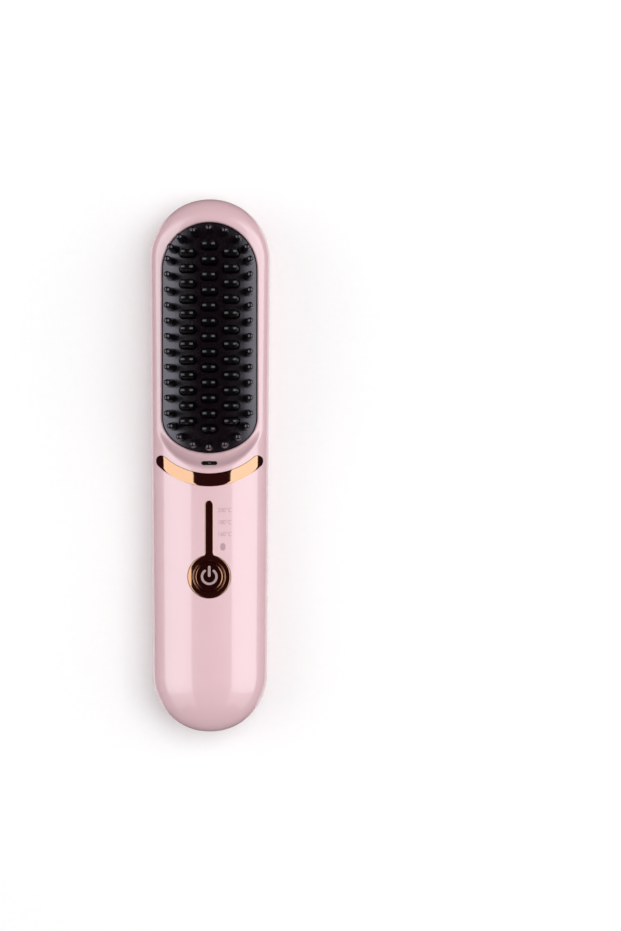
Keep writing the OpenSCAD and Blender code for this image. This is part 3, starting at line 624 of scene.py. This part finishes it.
def make_finishes():
    """Makes every finish, by the slot of the record that it dresses."""
    look = bpy.context.scene.finish_colours
    # A clear lacquer over pink plastic: an even, milky pink under sharp, bright sheens, with the faint waves
    # of sprayed lacquer, 1.2 mm wide
    FINISHES["pink_shell"] = mottled(
        "Lacquered ABS, pink", look.shell_deep, look.shell_pale, 18, 0.30, 0.36, 0.004, 1.2,
        Coat_Weight=0.8, Coat_Roughness=0.06, Coat_IOR=1.55, IOR=1.5)
    # The same pink straight from the mould: a shade deeper and satin, so the plugs show against the shell
    FINISHES["pink_plug"] = mottled(
        "Moulded ABS, pink, satin", look.plug_deep, look.plug_pale, 4, 0.42, 0.5, 0.004, 0.6)
    # Bright plating: a warm mirror that is pale where it sees a softbox and dark brown where it sees a card
    FINISHES["rose_gold"] = mottled(
        "Plated ABS, rose gold mirror", look.trim_deep, look.trim_pale, 9, 0.04, 0.07, Metallic=1.0)
    # The same plating under a tinted lacquer: a darker, redder mirror with slightly softer edges in it
    FINISHES["bronze_mirror"] = mottled(
        "Plated ABS, rose gold, tinted lacquer", look.bezel_deep, look.bezel_pale, 9, 0.05, 0.08,
        Metallic=1.0)
    # Plating over a finely matt moulding: the darkest of the three metals, with a soft mirror
    FINISHES["rose_button"] = mottled(
        "Plated ABS, brown gold", look.button_deep, look.button_pale, 5, 0.07, 0.11, Metallic=1.0)
    # Heat-proof plastic from a polished mould: near black, with strong, slightly soft streaks on the pins
    FINISHES["guard_black"] = mottled(
        "Moulded PBT, black, glossy", look.guard_deep, look.guard_pale, 3, 0.22, 0.28, 0.002, 0.4,
        IOR=1.75, Specular_Tint=(1.0, 0.87, 1.0, 1.0))
    # A fired coating on the metal blades: the deepest black, with a sharper shine than the guard's
    FINISHES["heater_coating"] = mottled(
        "Ceramic coated aluminium, black", look.blade_deep, look.blade_pale, 2, 0.14, 0.19, 0.002, 0.3)
    # A grey inlay that light can pass: it stays flat and pale while the metal round it goes dark
    FINISHES["symbol_print"] = mottled(
        "Smoked light guide, grey", look.symbol_deep, look.symbol_pale, 1, 0.3, 0.36)
    # Ink on the lacquer: a flat, low-contrast grey pink without the shell's sharp shine
    FINISHES["grey_print"] = mottled(
        "Grey pad print", look.print_deep, look.print_pale, 1, 0.38, 0.42)
    for slot, (name, deep, pale, rough) in SMALL_FINISHES.items():
        FINISHES[slot] = mottled(
            name, linear(deep), linear(pale), 3, rough - 0.04, rough + 0.04, 0.003, 0.4,
            Metallic=1.0 if slot in SMALL_METALS else 0.0)


def finish_of(slot):
    """The finish of a slot. All of them are made when the first one is asked for."""
    if not FINISHES:
        make_finishes()
    return FINISHES[slot]


def opening_points(grow, count=48):
    """Points round the head opening's outline, grown or shrunk, from its right side over the top."""
    head = bpy.context.scene.head_sizes
    r, bow = head.opening_radius + grow, head.opening_bow + grow
    top, low, step = head.opening_top, head.opening_low, 1.2 * MM
    arc = [math.pi * i / count for i in range(count + 1)]
    points = [(r * math.cos(a), top + r * math.sin(a)) for a in arc]
    points += [(-r, y) for y in stretch(top, low, step)]
    points += [(-r * math.cos(a), low - bow * math.sin(a)) for a in arc[1:]]
    points += [(r, y) for y in stretch(low, top, step)[:-1]]
    return points


def opening_tool(rim):
    """What is cut out of the front for the head opening: straight below, and flared by the rim's round on
    top."""
    def ring(grow, height):
        return [Vector((x, y, height(x, y))) for x, y in opening_points(grow)]

    def over_front(rise):
        return lambda x, y: front_height(x, y) + rise

    below, flare, clear, far = -3 * MM, rim + 2.2 * MM, 6 * MM, 40 * MM
    rings = [ring(0.0, lambda x, y: below)]
    for a in (math.radians(degrees) for degrees in range(0, 81, 16)):
        rings.append(ring(rim * (1 - math.cos(a)), over_front(-rim * (1 - math.sin(a)))))
    rings.append(ring(flare, over_front(clear)))
    rings.append(ring(flare, lambda x, y: far))
    return drum("opening_tool", rings)


def port_tool():
    """What is cut out of both shells at the tail for the mouth of the charging port."""
    mouth = pill_points(2.84 * MM, 1.83 * MM, 16)
    return drum("port_tool", [[Vector((x, y, z)) for x, z in mouth] for y in (-95 * MM, -104 * MM)])


def trim_stations(grow=0.0):
    """Stations of the arc trim seen from the front: the two arcs' distances along each ray, and a round at
    each end."""
    size = bpy.context.scene.trim_sizes
    upper_c, lower_c = size.upper_y + size.upper_radius, size.lower_y + size.lower_radius
    middle = (upper_c + lower_c) / 2

    def reach(a, radius, centre):
        """How far from the rays' centre a ray meets one of the two arcs."""
        off = middle - centre
        return off * math.cos(a) + math.sqrt(radius ** 2 - (off * math.sin(a)) ** 2)

    def station(a, ahead=0.0, share=1.0):
        near, far = reach(a, size.upper_radius, upper_c), reach(a, size.lower_radius, lower_c)
        nx, ny, mid = math.sin(a), -math.cos(a), (near + far) / 2
        half = (far - near) / 2 + grow
        return (nx * mid + math.cos(a) * ahead * half, middle + ny * mid + math.sin(a) * ahead * half,
                nx, ny, half * share)

    steps = 72
    first = [station(-size.turn, -math.sin(b), math.cos(b)) for b in cap_turns(8)]
    arc = [station(size.turn * (2 * i / steps - 1)) for i in range(steps + 1)]
    last = [station(size.turn, math.sin(b), math.cos(b)) for b in cap_turns(8)]
    return first[::-1] + arc + last


class MakeFrontHousing(bpy.types.Operator):
    """Spins, flattens, presses and cuts the pink front shell"""
    bl_idname = "straightener.front_housing"
    bl_label = "Front housing"

    def execute(self, context):
        size, head = context.scene.housing_sizes, context.scene.head_sizes
        # Fine steps along the face and finer ones where the slope bends, then wide ones down the handle
        bend_top, bend_low = 10 * MM, -5 * MM
        stops = stretch(size.head_y, bend_top, 0.8 * MM) + stretch(bend_top, bend_low, 0.35 * MM)
        obj = spun_skin("front_housing", stops + stretch(bend_low, size.tail_y, 3 * MM), 1)
        form(obj, lambda x, y, z: (x, y, z * size.front_rise))
        form(obj, lambda x, y, z: (x, y, min(z, smooth_min(z, face_height(x, y), head.ridge))))
        thicken(obj, 1)
        carve(obj, opening_tool(head.rim))
        self.cut_trim_and_panel(context, obj)
        self.add_tongue(obj)
        lift(obj)
        place_piece(obj, finish_of("pink_shell"), replaced=["front_shell"], angle=35)
        return {"FINISHED"}

    def cut_trim_and_panel(self, context, obj):
        """Cuts the seats of the arc trim and the bezel, the button's hole, the ion outlet and the port."""
        trim, panel = context.scene.trim_sizes, context.scene.panel_sizes
        clear = 4 * MM
        carve(obj, bar("trim_groove", trim_stations(TRIM_GAP), skin_at(trim.thickness + SEAT_GAP),
                       over_skin(clear)))
        half = panel.stem_width / 2
        stem = straight_stations((0, panel.button_y), (0, panel.stem_top - half), half + PANEL_GAP, 30, False)
        carve(obj, bar("stem_groove", stem, skin_at(panel.stem_depth + SEAT_GAP), over_skin(clear)))
        crown = skin_height(0, panel.button_y)
        recess, floor = panel.ring_radius + PANEL_GAP, crown - panel.ring_depth - SEAT_GAP
        carve(obj, round_drum("recess_tool", [(recess, floor), (recess, crown + clear)], panel.button_y))
        hole = panel.flange_radius + 0.3 * MM
        under_recess = [(hole, crown - 6 * MM), (hole, crown - 1 * MM)]
        carve(obj, round_drum("button_tool", under_recess, panel.button_y))
        outlet = straight_stations((-panel.outlet_half, panel.outlet_y), (panel.outlet_half, panel.outlet_y),
                                   panel.outlet_radius, 8)
        carve(obj, bar("outlet_tool", outlet, lambda x, y: 7 * MM, lambda x, y: 16 * MM))
        carve(obj, port_tool())

    def add_tongue(self, obj):
        """Adds the thin tongue round the edge, which reaches into the rear shell and darkens the seam."""
        outer, inner = 1.0 * MM, 1.85 * MM
        tongue = drum("tongue", [body_outline(outer, z) for z in (-TONGUE, 1 * MM)])
        carve(tongue, drum("tongue_hollow", [body_outline(inner, z) for z in (-2 * MM, 2 * MM)]))
        carve(tongue, port_tool())
        only(obj, tongue)
        bpy.ops.object.join()


class MakeRearHousing(bpy.types.Operator):
    """Spins, flattens and levels the pink rear shell"""
    bl_idname = "straightener.rear_housing"
    bl_label = "Rear housing"

    def execute(self, context):
        size = context.scene.housing_sizes
        obj = spun_skin("rear_housing", stretch(size.head_y, size.tail_y, 3 * MM), -1)
        # The body tapers, so the back is turned a little until its lowest line lies level
        fall = size.rear_rise * (size.head_radius - size.tail_radius)
        turn = math.atan(fall / (size.head_y - size.tail_y))

        def level(x, y, z):
            """Flattens the skin, turns it level, and keeps it just off the surface that it lies on."""
            z *= size.rear_rise
            dy = y - size.head_y
            y, z = (size.head_y + dy * math.cos(turn) - z * math.sin(turn),
                    dy * math.sin(turn) + z * math.cos(turn))
            return x, y, smooth_max(z, 0.02 * MM - SEAM, 0.05 * MM)

        form(obj, level)
        thicken(obj, -1)
        for x, y in ((-14 * MM, -9 * MM), (14 * MM, -9 * MM), (0, -86.2 * MM)):
            radius = 2.02 * MM
            carve(obj, round_drum("plug_hole", [(radius, -20 * MM), (radius, -5 * MM)], y, x, 48))
        carve(obj, port_tool())
        self.cut_lanyard_slot(context, obj, size)
        lift(obj)
        place_piece(obj, finish_of("pink_shell"), replaced=["rear_shell"], angle=35)
        return {"FINISHED"}

    def cut_lanyard_slot(self, context, obj, size):
        """Sinks the oval slot for a wrist cord, with its bar, square to the skin at the left of the tail."""
        slot = context.scene.lanyard_sizes
        y, z = slot.slot_y - size.tail_y, slot.slot_z
        x = -math.sqrt(size.tail_radius ** 2 - y * y - (z / size.rear_rise) ** 2)
        out = Vector((x, y, z / size.rear_rise ** 2)).normalized()
        square = Matrix.Rotation(math.atan2(out.y, out.x), 4, "Z") @ Matrix.Rotation(math.acos(out.z), 4, "Y")
        place = (Matrix.Translation((x, y + size.tail_y, z)) @ square
                 @ Matrix.Rotation(slot.slot_turn, 4, "Z"))

        # A block inside the wall gives the slot its sides and its bottom
        bpy.ops.mesh.primitive_cube_add(
            size=1, location=(0, 0, -2.9 * MM), scale=(7.8 * MM, 5 * MM, 3.4 * MM))
        block = settle("slot_block")
        block.data.transform(place)
        carve(obj, block, "UNION")

        def ring(radius, height):
            return [Vector((px, py, height)) for px, py in pill_points(slot.slot_half, radius, 12)]

        rim, skin = slot.rim, -0.35 * MM
        rings = [ring(slot.slot_radius, -slot.slot_depth), ring(slot.slot_radius, skin - rim)]
        rings += [ring(slot.slot_radius + rim * (1 - math.cos(a)), skin - rim * (1 - math.sin(a)))
                  for a in (math.radians(degrees) for degrees in (20, 40, 60, 78))]
        rings.append(ring(slot.slot_radius + 1.2 * MM, 2.5 * MM))
        tool = drum("slot_tool", rings)
        tool.data.transform(place)
        carve(obj, tool)
        bpy.ops.mesh.primitive_cylinder_add(
            vertices=24, radius=slot.bar_radius, depth=2.6 * MM,
            location=(0, 0, -slot.bar_depth), rotation=(math.pi / 2, 0, 0))
        rod = settle("slot_bar")
        rod.data.transform(place)
        carve(obj, rod, "UNION")


class MakeArcTrim(bpy.types.Operator):
    """Bends the rose gold arc trim over the front, with soft edges and round ends"""
    bl_idname = "straightener.arc_trim"
    bl_label = "Arc trim"

    def execute(self, context):
        trim = context.scene.trim_sizes

        def crowned(x, y):
            """The trim's top, which bulges a little more than the shell towards its middle."""
            share = (1 + math.cos(min(abs(x) / trim.crown_reach, 1) * math.pi)) / 2
            return skin_height(x, y) + trim.proud + trim.crown * share

        obj = bar("arc_trim", trim_stations(), skin_at(trim.thickness), crowned, trim.edge, 14)
        lift(obj)
        place_piece(obj, finish_of("rose_gold"), replaced=["crescent_trim"])
        return {"FINISHED"}


class MakeBezel(bpy.types.Operator):
    """Makes the keyhole-shaped bezel, flush with the shell: a ring round the button, and a stem"""
    bl_idname = "straightener.bezel"
    bl_label = "Control bezel"

    def execute(self, context):
        panel = context.scene.panel_sizes
        edge, proud = 0.3 * MM, 0.03 * MM
        ring = self.make_ring(panel, edge, proud)

        # The stem starts inside the ring, where two fillets widen it: stations at angles round these
        half, neck = panel.stem_width / 2, panel.neck_radius
        neck_y = panel.button_y + math.sqrt((panel.ring_radius + neck) ** 2 - (half + neck) ** 2)
        lines = [(0, y, 1, 0, half + neck - math.sqrt(max(neck ** 2 - (neck_y - y) ** 2, 0)))
                 for y in (neck_y - neck * math.sin(a) for a in (1.35, 1.2, 1.0, 0.8, 0.6, 0.4, 0.2))]
        lines += straight_stations((0, neck_y), (0, panel.stem_top - half), half, 40, False)
        # It stands twice as proud as the ring, so its top covers the ring's where they meet
        carve(ring, bar("bezel_stem", lines, skin_at(panel.stem_depth), over_skin(2 * proud), edge), "UNION")
        lift(ring)
        place_piece(ring, finish_of("bronze_mirror"), replaced=["control_bezel"])
        return {"FINISHED"}

    def make_ring(self, panel, edge, proud):
        """Spins the ring with a level top, and then lays its top on the skin."""
        crown = skin_height(0, panel.button_y)
        floor, level = crown - panel.ring_depth, crown + 1 * MM
        inner, outer = panel.button_radius + PANEL_GAP, panel.ring_radius
        section = [(inner, floor), (outer, floor)]
        section += [(outer - edge * (1 - math.cos(a)), level - edge * (1 - math.sin(a))) for a in quarter(5)]
        section += [(r, level) for r in stretch(outer - edge, inner + edge, 0.2 * MM)]
        section += [(inner + edge * (1 - math.sin(a)), level - edge * (1 - math.cos(a)))
                    for a in quarter(5)[1:]]
        ring = turned_ring("control_bezel", section, panel.button_y)
        return form(ring, lambda x, y, z: (x, y, z - level + skin_height(x, y) + proud if z > crown else z))


class MakeButton(bpy.types.Operator):
    """Turns the power button with its sunk disc, and lays the power symbol on it"""
    bl_idname = "straightener.button"
    bl_label = "Power button"

    def execute(self, context):
        panel = context.scene.panel_sizes
        crown = skin_height(0, panel.button_y)
        top, foot, flange = crown - panel.button_sink, crown - panel.button_foot, 0.5 * MM
        outer, dish, edge, lip = panel.button_radius, panel.button_dish, 0.22 * MM, 0.12 * MM

        sunk, hollow = 0.22 * MM, 0.16 * MM

        def disc(x, y):
            """The sunk disc's surface, hollowed a little further towards its middle."""
            out = math.hypot(x, y - panel.button_y)
            return top - sunk - hollow * (1 - (out / dish) ** 2)

        profile = [(panel.flange_radius, foot), (panel.flange_radius, foot + flange), (outer, foot + flange)]
        profile += [(outer - edge * (1 - math.cos(a)), top - edge * (1 - math.sin(a))) for a in quarter(5)]
        profile += [(dish + lip * (1 - math.sin(a)), top - lip * (1 - math.cos(a))) for a in quarter(5)]
        profile += [(r, disc(r, panel.button_y)) for r in stretch(dish, 0.2 * MM, 0.35 * MM)]
        button = round_drum("power_button_cap", profile, panel.button_y)
        lift(button)
        place_piece(button, finish_of("rose_button"), "button", ["power_button"])
        self.lay_symbol(panel, disc)
        return {"FINISHED"}

    def lay_symbol(self, panel, disc):
        """Lays the symbol's open ring and its stroke into the disc."""
        half = panel.symbol_line / 2
        radius = panel.symbol_radius - half
        parts = [arc_stations(0, panel.button_y, radius, half, math.radians(128), math.radians(412), 48),
                 straight_stations((0, panel.button_y + 0.35 * MM), (0, panel.button_y + 3.55 * MM),
                                   half * 1.1, 8)]

        def low(x, y):
            return disc(x, y) - 0.1 * MM

        def high(x, y):
            return disc(x, y) + 0.07 * MM

        pieces = [bar("symbol", line, low, high, 0.1 * MM, 4) for line in parts]
        only(*pieces)
        bpy.ops.object.join()
        symbol = pieces[0]
        symbol.name = symbol.data.name = "power_symbol"
        lift(symbol)
        place_piece(symbol, finish_of("symbol_print"), "button")


class MakePrints(bpy.types.Operator):
    """Prints the temperatures and the battery sign on the shell beside the stem"""
    bl_idname = "straightener.prints"
    bl_label = "Prints"

    def execute(self, context):
        size = context.scene.print_sizes
        made = [self.add_words(size, words, y * MM)
                for words, y in (("200\u00b0C", -17.35), ("180\u00b0C", -21.85), ("160\u00b0C", -26.25))]
        # The sign is a thin closed bar, and the numbers are single sheets that face up
        sign = straight_stations((size.sign_x, size.sign_low), (size.sign_x, size.sign_top),
                                 size.sign_half, 4)
        made.append(bar("print_battery", sign, lambda x, y: 0, lambda x, y: size.film))
        for obj in made:
            self.lay_on_skin(obj, size)
            place_piece(obj, finish_of("grey_print"))
        return {"FINISHED"}

    def add_words(self, size, words, y):
        """Sets a number in type, as a flat mesh."""
        bpy.ops.object.text_add(location=(size.left, y, 0))
        obj = bpy.context.active_object
        obj.data.body, obj.data.size = words, size.size
        obj.scale = (size.narrow, 1, 1)
        only(obj)
        bpy.ops.object.convert(target="MESH")
        return outward(settle("print_" + words[:3]), Vector((0, 0, -1)))

    def lay_on_skin(self, obj, size):
        """Cuts a flat print into upright strips, so that it can bend, and lays it on the skin."""
        only(obj)
        bpy.ops.object.mode_set(mode="EDIT")
        # The strips' edges in millimetres, from the left of the numbers to past their right end
        first, step, cuts = 3.22, 0.32, 19
        for i in range(cuts):
            bpy.ops.mesh.select_all(action="SELECT")
            bpy.ops.mesh.bisect(plane_co=((first + step * i) * MM, 0, 0), plane_no=(1, 0, 0))
        bpy.ops.object.mode_set(mode="OBJECT")
        form(obj, lambda x, y, z: (x, y, skin_height(x, y) + size.film + z))
        lift(obj)


class DressNodes(bpy.types.Operator):
    """Gives every CAD node that still shows the finish of its slot"""
    bl_idname = "straightener.dress_nodes"
    bl_label = "Dress CAD nodes"

    def execute(self, context):
        slots = {entry["node"]: entry["material_slot"] for entry in frame["record"]["subparts"]}
        for name, obj in NODES.items():
            if not obj.material_slots:
                raise RuntimeError(name + " has no material slot")
            for place in obj.material_slots:
                place.material = finish_of(slots[name])
        return {"FINISHED"}


# The studio, in metres from the object. Each softbox reaches between two angles off the vertical, in degrees.
LAMP_REACH = 0.9
LAMP_LENGTH = 0.94
RIGHT_BOX = (30.3, 85.4)
LEFT_BOX = (25.5, 79.9)
CARD_HEIGHT = 0.96
CARD_LENGTH = 2.6
CARD_SHEET = 0.002
# Cards on the floor lie just over it, and leave a strip under the object free
FLOOR_CARD_HEIGHT = 0.0004
FLOOR_CARD_SHEET = 0.0002

# The photograph's height, and how far the object's middle lies beside the picture's, in pixels
PHOTO_HEIGHT = 931
SHIFT_PX = 25.0
OFFSET_PX = 75.5


def seen_rays(tree):
    """Is 1 for what the camera, a mirror or a clear body shows, and 0 for what only lights the object."""
    ray = add_node(tree, "ShaderNodeLightPath").outputs
    both = add_node(tree, "ShaderNodeMath", {
        0: ray["Is Camera Ray"], 1: ray["Is Transmission Ray"]}, operation="MAXIMUM")
    return add_node(tree, "ShaderNodeMath", {
        0: both.outputs[0], 1: ray["Is Glossy Ray"]}, operation="MAXIMUM").outputs[0]


class MakeStage(bpy.types.Operator):
    """Sets the pale floor, the two long softboxes, the light above, the dark cards and the camera"""
    bl_idname = "straightener.stage"
    bl_label = "Stage"

    def execute(self, context):
        stage = context.scene.stage_settings
        self.make_floor()
        self.make_lamps(context, stage)
        self.make_cards(stage)
        self.make_sky(context, stage)
        self.make_camera(context, stage)
        context.scene.view_settings.view_transform = "Standard"
        return {"FINISHED"}

    def make_floor(self):
        """A wide sheet of white paper, which fades to pure white away from the lamps."""
        bpy.ops.mesh.primitive_plane_add(size=24)
        floor = settle("floor")
        # Uncoated paper: matt white, with fibres 2.5 mm long that drift a little in brightness
        finish, tree, place = new_finish("Studio paper, white")
        fibre = add_node(tree, "ShaderNodeTexNoise", {"Vector": place, "Scale": 400.0, "Detail": 2.0})
        tint = add_node(tree, "ShaderNodeMix", {
            "Factor": fibre.outputs["Fac"], "A": (*linear("#f7f7f7"), 1), "B": (*linear("#fafafa"), 1)},
            data_type="RGBA")
        seen = seen_rays(tree)
        level = add_node(tree, "ShaderNodeMix", {
            "Factor": seen, "A": (*linear("#f3f3f3"), 1), "B": tint.outputs["Result"]}, data_type="RGBA")
        paper = add_node(tree, "ShaderNodeBsdfDiffuse", {"Color": level.outputs["Result"], "Roughness": 0.5})
        away = add_node(tree, "ShaderNodeVectorMath", {0: place}, operation="LENGTH")
        # The paper far from the lamps is lifted where it is seen, so it stays white in low views
        share = add_node(tree, "ShaderNodeMapRange", {
            "Value": away.outputs["Value"], "From Min": 0.35, "From Max": 1.1,
            "To Min": 0.045, "To Max": 0.42})
        raised = add_node(tree, "ShaderNodeMath", {0: seen, 1: share.outputs["Result"]}, operation="MULTIPLY")
        white = add_node(tree, "ShaderNodeEmission", {"Color": (1, 1, 1, 1), "Strength": raised.outputs[0]})
        show(tree, add_node(tree, "ShaderNodeAddShader", {0: paper.outputs[0], 1: white.outputs[0]}))
        floor.data.materials.append(finish)

    def panel_at(self, angles, side):
        """Width and place of a long panel that faces the object, between two angles off the vertical."""
        low, high = (math.radians(degrees) for degrees in angles)
        a = Vector((side * math.sin(low), 0, math.cos(low))) * LAMP_REACH
        b = Vector((side * math.sin(high), 0, math.cos(high))) * LAMP_REACH
        centre, across = (a + b) / 2, (b - a).normalized()
        facing = -centre.normalized()
        turn = Matrix((across, (-facing).cross(across), -facing)).transposed().to_4x4()
        return (b - a).length, Matrix.Translation(centre + Vector((0, 0, SEAM))) @ turn

    def lamp_at(self, context, name, place, size, strength):
        """A soft lamp of (width, length), whose face has the same brightness at any size."""
        lamp = bpy.data.lights.new(name, "AREA")
        lamp.shape = "RECTANGLE"
        lamp.size, lamp.size_y = size
        lamp.energy = strength * 4 * size[0] * size[1]
        obj = bpy.data.objects.new(name, lamp)
        context.scene.collection.objects.link(obj)
        obj.matrix_world = place
        obj.visible_camera = False
        return obj

    def make_lamps(self, context, stage):
        """Each softbox is two lamps. One is only mirrored, and makes the sheen along the handle and the
        bright ends of the trim. The other, 5 cm behind it, only lights, so sheen and shading are set
        apart."""
        behind = Matrix.Translation((0, 0, 0.05))
        for name, side, angles, strength, share in (
                ("right", 1, RIGHT_BOX, stage.right_light, stage.right_share),
                ("left", -1, LEFT_BOX, stage.left_light, stage.left_share)):
            width, place = self.panel_at(angles, side)
            size = (width, LAMP_LENGTH)
            sheen = self.lamp_at(context, "sheen_" + name, place, size, strength)
            sheen.visible_diffuse = False
            sheen.data.color = stage.sheen_colour
            softbox = self.lamp_at(context, "softbox_" + name, place @ behind, size, strength * share)
            softbox.visible_glossy = False
        above = (Matrix.Translation((0.3, 0.12, 0.98)) @ Matrix.Rotation(math.radians(-7), 4, "X")
                 @ Matrix.Rotation(math.radians(17), 4, "Y"))
        overhead = self.lamp_at(context, "overhead", above, (0.7, 0.7), stage.overhead_light)
        overhead.visible_glossy = False

    def make_cards(self, stage):
        """Dark cards that only reflections show. The one above ends where the softboxes start, so the trim
        has a dark middle and the sheens have a clear edge. The low ones and those on the floor darken the
        trim's rims."""
        # A card that glows dimly in deep wine rather than being matt black. Polished metal mirrors that glow
        # as a painted wine-brown reflection
        card, tree, _ = new_finish("Dark studio card")
        dark = add_node(tree, "ShaderNodeEmission", {"Color": (*stage.card_glow_colour, 1), "Strength": 1.0})
        show(tree, dark)
        right = CARD_HEIGHT * math.tan(math.radians(RIGHT_BOX[0]))
        left = CARD_HEIGHT * math.tan(math.radians(LEFT_BOX[0]))
        rise, sheet = FLOOR_CARD_HEIGHT, FLOOR_CARD_SHEET
        for name, centre, scale in (
                ("card_above", ((right - left) / 2, 0, CARD_HEIGHT), (right + left, CARD_LENGTH, CARD_SHEET)),
                ("card_right", (1.0, 0, 0.035), (CARD_SHEET, CARD_LENGTH, 0.09)),
                ("card_left", (-1.0, 0, 0.085), (CARD_SHEET, CARD_LENGTH, 0.19)),
                ("card_head", (0, 1.3, 0.47), (2.0, CARD_SHEET, 0.98)),
                ("card_tail", (0, -1.3, 0.47), (2.0, CARD_SHEET, 0.98)),
                ("card_under_right", (0.52, 0, rise), (0.96, CARD_LENGTH, sheet)),
                ("card_under_left", (-0.52, 0, rise), (0.96, CARD_LENGTH, sheet)),
                ("card_under_head", (0, 0.7, rise), (0.079, 1.2, sheet)),
                ("card_under_tail", (0, -0.7, rise), (0.079, 1.2, sheet))):
            bpy.ops.mesh.primitive_cube_add(size=1, location=centre, scale=scale)
            board = settle(name)
            board.data.materials.append(card)
            board.visible_camera = board.visible_diffuse = board.visible_shadow = False
            board.visible_transmission = board.visible_volume_scatter = False

    def make_sky(self, context, stage):
        """An even light from all round, which is pure white where it is seen."""
        world = bpy.data.worlds.new("studio")
        context.scene.world = world
        world.use_nodes = True
        tree = world.node_tree
        tree.nodes.clear()
        strength = add_node(tree, "ShaderNodeMapRange", {
            "Value": seen_rays(tree), "To Min": stage.sky_light, "To Max": 1.0})
        sky = add_node(tree, "ShaderNodeBackground", {
            "Color": (1, 1, 1, 1), "Strength": strength.outputs["Result"]})
        add_node(tree, "ShaderNodeOutputWorld", {"Surface": sky.outputs[0]})

    def make_camera(self, context, stage):
        """Looks straight down at the object, which keeps its place in the photograph's frame."""
        data = bpy.data.cameras.new("camera")
        camera = bpy.data.objects.new("camera", data)
        context.scene.collection.objects.link(camera)
        pixel = stage.frame_height / PHOTO_HEIGHT
        data.lens = data.sensor_width * stage.camera_distance / stage.frame_height
        data.shift_x = SHIFT_PX / PHOTO_HEIGHT
        data.clip_end = 50
        camera.location = (OFFSET_PX * pixel, 0, SEAM + stage.camera_distance)
        context.scene.camera = camera


class StraightenerPanel(bpy.types.Panel):
    """Lists the steps that dress the hair straightener"""
    bl_idname = "VIEW3D_PT_straightener"
    bl_label = "Hair straightener"
    bl_space_type = "VIEW_3D"
    bl_region_type = "UI"
    bl_category = "Straightener"

    def draw(self, context):
        for step in STEPS:
            self.layout.operator(step.bl_idname)


STEPS = [MakeStage, DressNodes, MakeFrontHousing, MakeRearHousing, MakeArcTrim, MakeBezel, MakeButton,
         MakePrints]
SETTINGS = {"housing_sizes": HousingSizes, "head_sizes": HeadSizes, "panel_sizes": PanelSizes,
            "trim_sizes": TrimSizes, "lanyard_sizes": LanyardSizes, "print_sizes": PrintSizes,
            "finish_colours": FinishColours, "stage_settings": StageSettings}
KINDS = [*SETTINGS.values(), *STEPS, StraightenerPanel]


def register():
    """Makes the steps, their settings and the panel known."""
    for kind in KINDS:
        bpy.utils.register_class(kind)
    for name, kind in SETTINGS.items():
        setattr(bpy.types.Scene, name, bpy.props.PointerProperty(type=kind))


def unregister():
    """Takes away all that register made."""
    for name in SETTINGS:
        delattr(bpy.types.Scene, name)
    for kind in reversed(KINDS):
        bpy.utils.unregister_class(kind)


def main():
    register()
    for step in STEPS:
        group, name = step.bl_idname.split(".")
        getattr(getattr(bpy.ops, group), name)()


if __name__ == "__main__":
    main()
